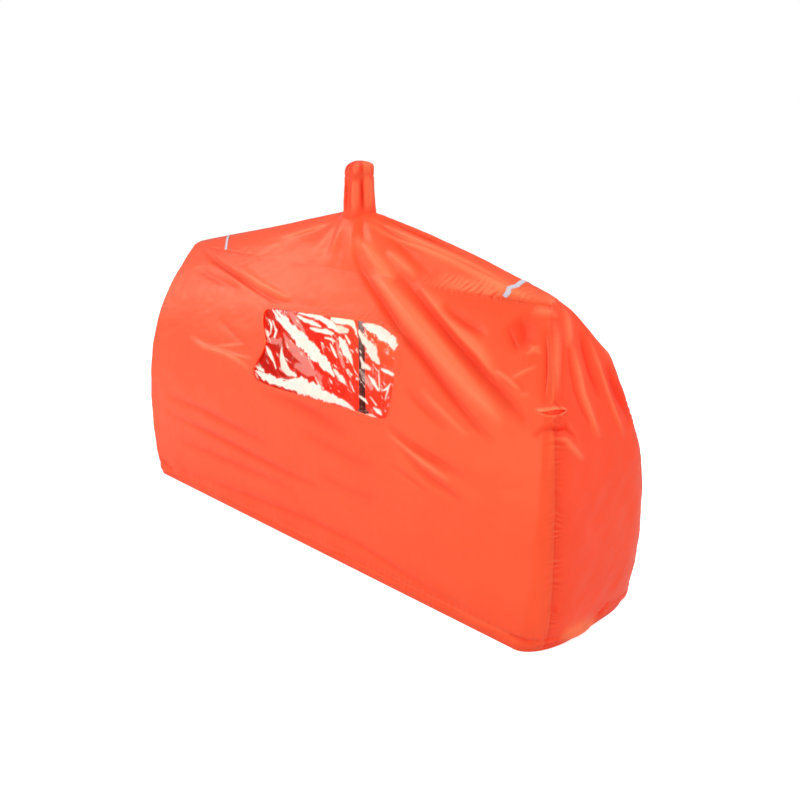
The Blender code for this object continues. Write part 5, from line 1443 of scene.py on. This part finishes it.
class Value:
    """A shader socket that takes part in arithmetic; each operation adds its Math node."""

    def __init__(self, tree, socket):
        self.tree = tree
        self.socket = socket

    def math(self, operation, first, second=None):
        node = self.tree.nodes.new("ShaderNodeMath")
        node.operation = operation
        feed(self.tree, node.inputs[0], first)
        if second is not None:
            feed(self.tree, node.inputs[1], second)
        return Value(self.tree, node.outputs[0])

    def __add__(self, other):
        return self.math("ADD", self, other)

    def __radd__(self, other):
        return self.math("ADD", other, self)

    def __sub__(self, other):
        return self.math("SUBTRACT", self, other)

    def __rsub__(self, other):
        return self.math("SUBTRACT", other, self)

    def __mul__(self, other):
        return self.math("MULTIPLY", self, other)

    def __rmul__(self, other):
        return self.math("MULTIPLY", other, self)

    def sine(self):
        return self.math("SINE", self)

    def at_least(self, other):
        return self.math("MAXIMUM", self, other)


class Finish:
    """A material made of nodes, with its finished shader linked to its output."""

    def __init__(self, name):
        self.material = bpy.data.materials.new(name)
        self.material.use_nodes = True
        self.tree = self.material.node_tree
        self.tree.nodes.clear()
        self.place = self.add("ShaderNodeTexCoord", out="Object")

    def add(self, kind, settings=(), inputs=(), out=0):
        """Adds a node, sets it, then feeds its sockets; gives back one of its outputs."""
        node = self.tree.nodes.new(kind)
        for key, value in dict(settings).items():
            setattr(node, key, value)
        for key, value in dict(inputs).items():
            feed(self.tree, node.inputs[key], value)
        return Value(self.tree, node.outputs[out])

    def axes(self):
        split = self.add("ShaderNodeSeparateXYZ", {}, {0: self.place}).socket.node
        return [Value(self.tree, output) for output in split.outputs]

    def attribute(self, name):
        return self.add("ShaderNodeAttribute", {"attribute_name": name}, out="Fac")

    def noise(self, scale, detail=2.0, roughness=0.5, vector=None):
        return self.add("ShaderNodeTexNoise", {}, {"Vector": vector or self.place, "Scale": scale,
                                                   "Detail": detail, "Roughness": roughness})

    def blend(self, share, first, second):
        """A colour between two others."""
        return self.add("ShaderNodeMix", {"data_type": "RGBA"}, {0: share, 6: first, 7: second},
                        out=2)

    def mixed(self, share, first, second):
        """A shader between two others."""
        return self.add("ShaderNodeMixShader", {}, {0: share, 1: first, 2: second})

    def bump(self, height, distance, strength, **before):
        return self.add("ShaderNodeBump", {}, {"Height": height, "Distance": distance,
                                               "Strength": strength, **before})

    def surface(self, **inputs):
        named = {key.replace("_", " "): value for key, value in inputs.items()}
        return self.add("ShaderNodeBsdfPrincipled", {}, named)

    def done(self, shader):
        output = self.tree.nodes.new("ShaderNodeOutputMaterial")
        feed(self.tree, output.inputs["Surface"], shader)
        return self.material


def threads(first, second, pitch):
    """Height of a plain weave over two directions."""
    turn = math.tau / pitch
    return (first * turn).sine() * (second * turn).sine()


def toned(tone, *shares):
    return tuple(min(channel * share, 1.0) for channel, share in zip(tone, shares))


WEAVE_PITCH = 0.0011
RIDGE_HIGHLIGHT_TONE = (1.0, 0.31, 0.135)
WARM_SHINE = (1.0, 0.46, 0.16)
# Share of the light on the cloth that passes through it
GLOW = 0.16


def cloth_finish(name, tone, directions, lit=0.0, gloss=1.45):
    """Thin coated cloth: fine weave, small crinkles, a soft shine and light that passes through,
    with painted shade in folds, painted highlight on ridges and, where lit is given, a painted
    glow.
    """
    made = Finish(name)
    axes = dict(zip("xyz", made.axes()))
    mottle, crinkle = made.noise(5.0, 3.0, 0.55), made.noise(38.0, 3.0, 0.55)
    colour = made.blend(mottle, toned(tone, 0.97, 0.84, 0.82), toned(tone, 1.02, 1.16, 1.16))
    painted_fold_shading = made.attribute("painted_fold_shading")
    # Painted shade deep in folds, then painted highlight on ridges
    colour = made.blend((-0.9 * painted_fold_shading).at_least(0.0), colour, toned(tone, 0.94, 0.46, 0.48))
    colour = made.blend((0.75 * painted_fold_shading).at_least(0.0), colour, RIDGE_HIGHLIGHT_TONE)
    weave = made.bump(threads(*(axes[d] for d in directions), WEAVE_PITCH), 0.00004, 0.6)
    relief = made.bump(crinkle, 0.0011, 0.22, Normal=weave)
    # lit makes the cloth glow in its own colour, a painted glow
    skin = made.surface(Base_Color=colour, Roughness=0.31 + 0.12 * crinkle, Normal=relief,
                        IOR=gloss, Specular_Tint=WARM_SHINE, Emission_Color=colour,
                        Emission_Strength=lit)
    through = made.add("ShaderNodeBsdfTranslucent", {}, {"Color": tone, "Normal": relief})
    return made.done(made.mixed(GLOW, skin, through))


def film_finish():
    """Clear plastic film with painted reflections: white streaks that glow a little and are faintly
    milky in places, and painted glints.
    """
    made = Finish("clear_film_finish")
    glare = made.attribute("glare")
    x, y, z = made.axes()
    down = made.add("ShaderNodeCombineXYZ", {}, {0: 0.22 * (0.8 * x - 0.6 * z), 1: y,
                                                 2: 0.6 * x + 0.8 * z})
    # Thin painted glints along a slant
    streaks = (made.noise(120.0, 3.0, 0.62, vector=down) - 0.61) * 9.0
    glints = streaks.math("MINIMUM", streaks.at_least(0.0), 0.55)
    haze = made.noise(75.0, 4.0, 0.65)
    relief = made.bump(haze, 0.0008, 0.6)
    # The streaks' cream colour, which glows a little: painted reflections, with a milky haze where
    # faint
    tone = made.blend(haze, (1.0, 0.66, 0.52), (1.0, 0.92, 0.84))
    reflection_and_haze = made.surface(Base_Color=tone, Roughness=0.30 + 0.2 * haze, Normal=relief, IOR=1.5)
    lit = made.add("ShaderNodeEmission", {}, {"Color": tone, "Strength": 0.06})
    white = made.add("ShaderNodeAddShader", {}, {0: reflection_and_haze, 1: lit})
    clear = made.add("ShaderNodeBsdfTransparent", {}, {"Color": (0.98, 0.94, 0.93)})
    gloss = made.add("ShaderNodeBsdfAnisotropic", {}, {"Color": (1.0, 0.95, 0.92),
                                                       "Roughness": 0.12, "Normal": relief})
    film = made.mixed(0.012, clear, gloss)
    return made.done(made.mixed((0.94 * glare).at_least(glints), film, white))


def tape_finish():
    """Silver reflective tape with a fine beaded face."""
    made = Finish("reflective_tape_finish")
    beads = made.add("ShaderNodeTexVoronoi", {}, {"Vector": made.place, "Scale": 1500.0})
    smudge = made.noise(90.0, 3.0)
    colour = made.blend(smudge, (0.50, 0.49, 0.57), (0.66, 0.65, 0.74))
    return made.done(made.surface(Base_Color=colour, Roughness=0.42 + 0.2 * smudge,
                                  Normal=made.bump(beads, 0.0001, 0.4)))


def woven_finish(name, dark, light, pitch, roughness, relief_depth=0.0002):
    """A matt woven or braided finish between two tones."""
    made = Finish(name)
    x, y, z = made.axes()
    height = threads(x + z, y + z, pitch)
    worn = made.noise(55.0, 3.0)
    colour = made.blend((0.5 + 0.3 * height) * worn * 1.4, dark, light)
    return made.done(made.surface(Base_Color=colour, Roughness=roughness + 0.12 * worn,
                                  Normal=made.bump(height, relief_depth, 0.7), Sheen_Weight=0.2))


def moulded_finish(name, dark, light, roughness, grain=260.0, metallic=0.0, coat=0.0):
    """Moulded plastic, rubber, foam or painted tube: fine grain and paler worn patches."""
    made = Finish(name)
    fine, worn = made.noise(grain, 2.0), made.noise(34.0, 4.0, 0.65)
    return made.done(made.surface(Base_Color=made.blend(worn, dark, light),
                                  Roughness=roughness + 0.16 * worn, Metallic=metallic,
                                  Normal=made.bump(fine, 0.00015, 0.5), Coat_Weight=coat,
                                  Coat_Roughness=0.2))


def brushed_finish(name, tone, roughness):
    """Bare metal drawn along its length, with faint dulled patches."""
    made = Finish(name)
    x, y, z = made.axes()
    line = made.add("ShaderNodeCombineXYZ", {}, {0: x, 1: y, 2: z * 0.03})
    streaks, dull = made.noise(900.0, 2.0, vector=line), made.noise(30.0, 3.0)
    return made.done(made.surface(Base_Color=made.blend(dull, toned(tone, 0.8, 0.8, 0.8), tone),
                                  Roughness=roughness + 0.18 * streaks, Metallic=1.0,
                                  Normal=made.bump(streaks, 0.00003, 0.6)))


CLOTH_TONE = (0.98, 0.108, 0.041)
# The same cloth a little darker, as painted shade on the end walls, their hems and the chimney
SHADED_END_TONE = (0.98, 0.091, 0.038)
DEEP_TONE = (0.86, 0.070, 0.032)
GREY = (0.030, 0.030, 0.033)
PALE_GREY = (0.085, 0.085, 0.090)


def make_finishes():
    return {
        "wall": cloth_finish("orange_cloth_long", CLOTH_TONE, "xz"),
        "end": cloth_finish("orange_cloth_end_shaded", SHADED_END_TONE, "yz", gloss=1.25),
        "roof": cloth_finish("orange_cloth_roof", CLOTH_TONE, "xy"),
        "deep": cloth_finish("orange_cloth_deep", DEEP_TONE, "xz"),
        # The pocket behind the slit glows, a painted glow for daylight through its cloth
        "hood": cloth_finish("orange_cloth_painted_glow", DEEP_TONE, "xz", 0.45),
        "film": film_finish(),
        "tape": tape_finish(),
        "seat": woven_finish("seat_cloth_finish", (0.018, 0.018, 0.020), (0.060, 0.060, 0.064),
                             0.0016, 0.62),
        "thread": woven_finish("thread_finish", (0.72, 0.085, 0.040), (0.98, 0.20, 0.11), 0.0006,
                               0.5, 0.00005),
        "cord": woven_finish("drawcord_finish", (0.020, 0.020, 0.021), (0.110, 0.108, 0.105),
                             0.0014, 0.7),
        "nylon": moulded_finish("black_nylon_finish", GREY, PALE_GREY, 0.38),
        "button": moulded_finish("lock_button_finish", (0.024, 0.024, 0.026),
                                 (0.070, 0.070, 0.074), 0.30, 180.0),
        "lever": moulded_finish("black_lever_finish", GREY, PALE_GREY, 0.30, 220.0, coat=0.2),
        "foam": moulded_finish("grip_foam_finish", (0.018, 0.018, 0.019), (0.052, 0.052, 0.054),
                               0.80, 700.0),
        "tube": moulded_finish("black_tube_finish", (0.016, 0.016, 0.018), (0.050, 0.050, 0.054),
                               0.22, 400.0, 0.5, 0.3),
        "bare": brushed_finish("bare_tube_finish", (0.62, 0.63, 0.65), 0.22),
        "rubber": moulded_finish("rubber_finish", (0.014, 0.014, 0.014), (0.045, 0.044, 0.043),
                                 0.78, 320.0),
        "steel": brushed_finish("steel_pin_finish", (0.66, 0.66, 0.67), 0.18),
    }


NODE_FINISHES = (
    ("_grip", "foam"), ("_upper_shaft", "tube"), ("_lower_shaft", "bare"),
    ("_rubber_foot", "rubber"), ("_basket", "nylon"), ("_lock_collar", "nylon"),
    ("_lock_lever", "lever"), ("_lock_pin", "steel"), ("_cord_lock", "nylon"),
    ("_lock_button", "button"), ("_drawcord", "cord"),
)


def finish_nodes(finishes):
    """Gives the solids that stay their finishes."""
    for name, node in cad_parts.items():
        for ending, finish in NODE_FINISHES:
            if name.endswith(ending):
                for place in node.material_slots:
                    place.material = finishes[finish]


# The whole part


def add_walls(wall, end):
    rear_line = even_stations(STRAIGHT_SHARE, REAR_COLUMNS, SIDE_ARC_COLUMNS)
    end_line = even_stations(END_STRAIGHT_SHARE, END_COLUMNS, END_ARC_COLUMNS)
    add_wall("front_cloth", "front_panel", wall, side_wall, front_stations(), WALL_ROWS,
             cut_window, cut_vent)
    add_wall("rear_cloth", "rear_panel", wall, rear_wall, rear_line, PLAIN_ROWS)
    add_wall("left_end_cloth", "left_end_panel", end, left_wall, end_line, PLAIN_ROWS)
    add_wall("right_end_cloth", "right_end_panel", end, end_wall, end_line, WALL_ROWS, cut_vent)


def add_ground_line(finishes):
    for side, surface, share, steps, finish in (
            ("front", side_wall, STRAIGHT_SHARE, (260, 40), "wall"),
            ("rear", rear_wall, STRAIGHT_SHARE, (260, 40), "wall"),
            ("left", left_wall, END_STRAIGHT_SHARE, (40, 40), "end"),
            ("right", end_wall, END_STRAIGHT_SHARE, (40, 40), "end")):
        add_hem(side + "_hem_cloth", side + "_hem", finishes[finish], surface, share, steps)
    for end, sign in (("left", -1.0), ("right", 1.0)):
        add_seat(end + "_seat_cloth", end + "_seat", finishes["seat"], sign)


# Levels between which the tapes of the corner seams run
BINDING_LOW = 0.05
BINDING_HIGH = 0.96


def add_seam_bindings(finish):
    half, vent = (VENT_HOOD + 0.004) / (SEAM_HEIGHT - HEM_HEIGHT), level_at(VENT_HEIGHT)
    for seam, right, rear, low, high in (
            ("front_left", False, False, BINDING_LOW, BINDING_HIGH),
            ("rear_left", False, True, BINDING_LOW, BINDING_HIGH),
            ("rear_right", True, True, BINDING_LOW, BINDING_HIGH),
            ("front_right_lower", True, False, BINDING_LOW, vent - half),
            ("front_right_upper", True, False, vent + half, BINDING_HIGH)):
        add_binding(seam + "_seam_tape", seam + "_seam_binding", finish, right, rear, low, high)


def add_roof_details(roof, finishes):
    over = height_tree(roof)
    strips = [add_tape(end + "_reflective_strip", end + "_reflective_tape", finishes["tape"],
                       ridge_x, seam_x, over, swing) for end, ridge_x, seam_x, swing in TAPES]
    for end, strip in zip(("left", "right"), strips):
        rows = [strip[:, column] + UP * 0.0002 for column in (1, -2)]
        add_stitches(end + "_reflective_strip_stitches", rows, finishes["thread"], *STRIP_STITCH)
    for end, x in (("left", LEFT_POLE_X), ("right", RIGHT_POLE_X)):
        add_patch(end + "_pole_patch_cloth", end + "_pole_patch", finishes["deep"], x, over)


def dress(finishes):
    add_walls(finishes["wall"], finishes["end"])
    roof = add_roof(finishes["roof"])
    chimney = add_chimney(finishes["end"])
    add_channel(finishes["deep"])
    add_film(finishes["film"])
    add_window_binding(finishes["deep"])
    add_hood(finishes["hood"])
    add_ground_line(finishes)
    add_seam_bindings(finishes["deep"])
    add_roof_details(roof, finishes)
    add_all_stitches(chimney, finishes["thread"])
    finish_nodes(finishes)


# Floor, light and camera


CAMERA_PLACE = (1.627, -1.473, 1.0275)
CAMERA_YAW = 45.0
CAMERA_DIP = 17.4
CAMERA_LENS = 40.5
CAMERA_FILM = 36.0
FLOOR_SIZE = 16.0
FLOOR_HEIGHT = -0.0005
FLOOR_LIGHT = 0.62
SKY_LIGHT = 0.43
WHITE = (1.0, 1.0, 1.0)
# Name, place, size and power of each lamp, all aimed at the middle of the part
LAMPS = (("left_window", (-3.0, -2.0, 1.9), 0.9, 42.0), ("low_fill", (-1.2, -3.4, 0.6), 1.6, 46.0),
         ("right_window", (3.3, -1.0, 1.9), 0.9, 42.0), ("overhead", (0.9, 0.9, 3.1), 1.0, 34.0))
LAMP_TARGET = (0.0, 0.0, 0.4)
INNER_PLACE = (0.05, -0.02, 0.60)
INNER_POWER = 8.5


def aim(made, place, ahead):
    made.location = place
    made.rotation_euler = ahead.to_track_quat("-Z", "Y").to_euler()


def add_camera():
    data = bpy.data.cameras.new("photo_view")
    data.lens = CAMERA_LENS
    data.sensor_width = CAMERA_FILM
    yaw, dip = math.radians(CAMERA_YAW), math.radians(CAMERA_DIP)
    ahead = Vector((-math.sin(yaw) * math.cos(dip), math.cos(yaw) * math.cos(dip), -math.sin(dip)))
    camera = placed("photo_view", data)
    aim(camera, CAMERA_PLACE, ahead)
    bpy.context.scene.camera = camera


def floor_finish():
    """A white floor that keeps the part's shadow and is plain white elsewhere."""
    made = Finish("white_floor")
    colour = made.blend(made.noise(3.0, 2.0), (0.90, 0.90, 0.90), (0.93, 0.93, 0.93))
    matt = made.add("ShaderNodeBsdfDiffuse", {}, {"Color": colour})
    lit = made.add("ShaderNodeEmission", {}, {"Color": WHITE, "Strength": FLOOR_LIGHT})
    seen = made.add("ShaderNodeAddShader", {}, {0: matt, 1: lit})
    path = made.add("ShaderNodeLightPath", out="Is Camera Ray")
    return made.done(made.mixed(path, matt, seen))


def add_floor():
    half = FLOOR_SIZE / 2
    corners = [(x * half, y * half, FLOOR_HEIGHT) for x, y in ((-1, -1), (1, -1), (1, 1), (-1, 1))]
    floor = plain_piece("floor", corners, [], [(0, 1, 2, 3)])
    floor.data.materials.append(floor_finish())


def add_world():
    """White to the camera and through the film, and a plain soft light otherwise."""
    world = bpy.data.worlds.new("studio")
    bpy.context.scene.world = world
    world.use_nodes = True
    tree = world.node_tree
    tree.nodes.clear()
    rays = tree.nodes.new("ShaderNodeLightPath").outputs
    seen = Value(tree, rays["Is Camera Ray"]).at_least(rays["Is Transmission Ray"])
    sky = tree.nodes.new("ShaderNodeBackground")
    feed(tree, sky.inputs["Color"], WHITE)
    feed(tree, sky.inputs["Strength"], SKY_LIGHT + (1.0 - SKY_LIGHT) * seen)
    out = tree.nodes.new("ShaderNodeOutputWorld")
    feed(tree, out.inputs["Surface"], sky.outputs[0])


def add_inner_light():
    """The daylight that comes through the thin cloth into the shelter."""
    lamp = bpy.data.lights.new("inner_daylight", "POINT")
    lamp.energy = INNER_POWER
    lamp.shadow_soft_size = 0.06
    lamp.color = (1.0, 0.85, 0.74)
    made = placed("inner_daylight", lamp)
    made.location = INNER_PLACE
    made.visible_camera = False


def light_scene():
    add_world()
    for name, place, size, power in LAMPS:
        lamp = bpy.data.lights.new(name, "AREA")
        lamp.shape = "DISK"
        lamp.size = size
        lamp.energy = power
        aim(placed(name, lamp), place, Vector(LAMP_TARGET) - Vector(place))
    add_inner_light()
    bpy.context.scene.view_settings.view_transform = "Standard"


add_camera()
add_floor()
light_scene()
dress(make_finishes())
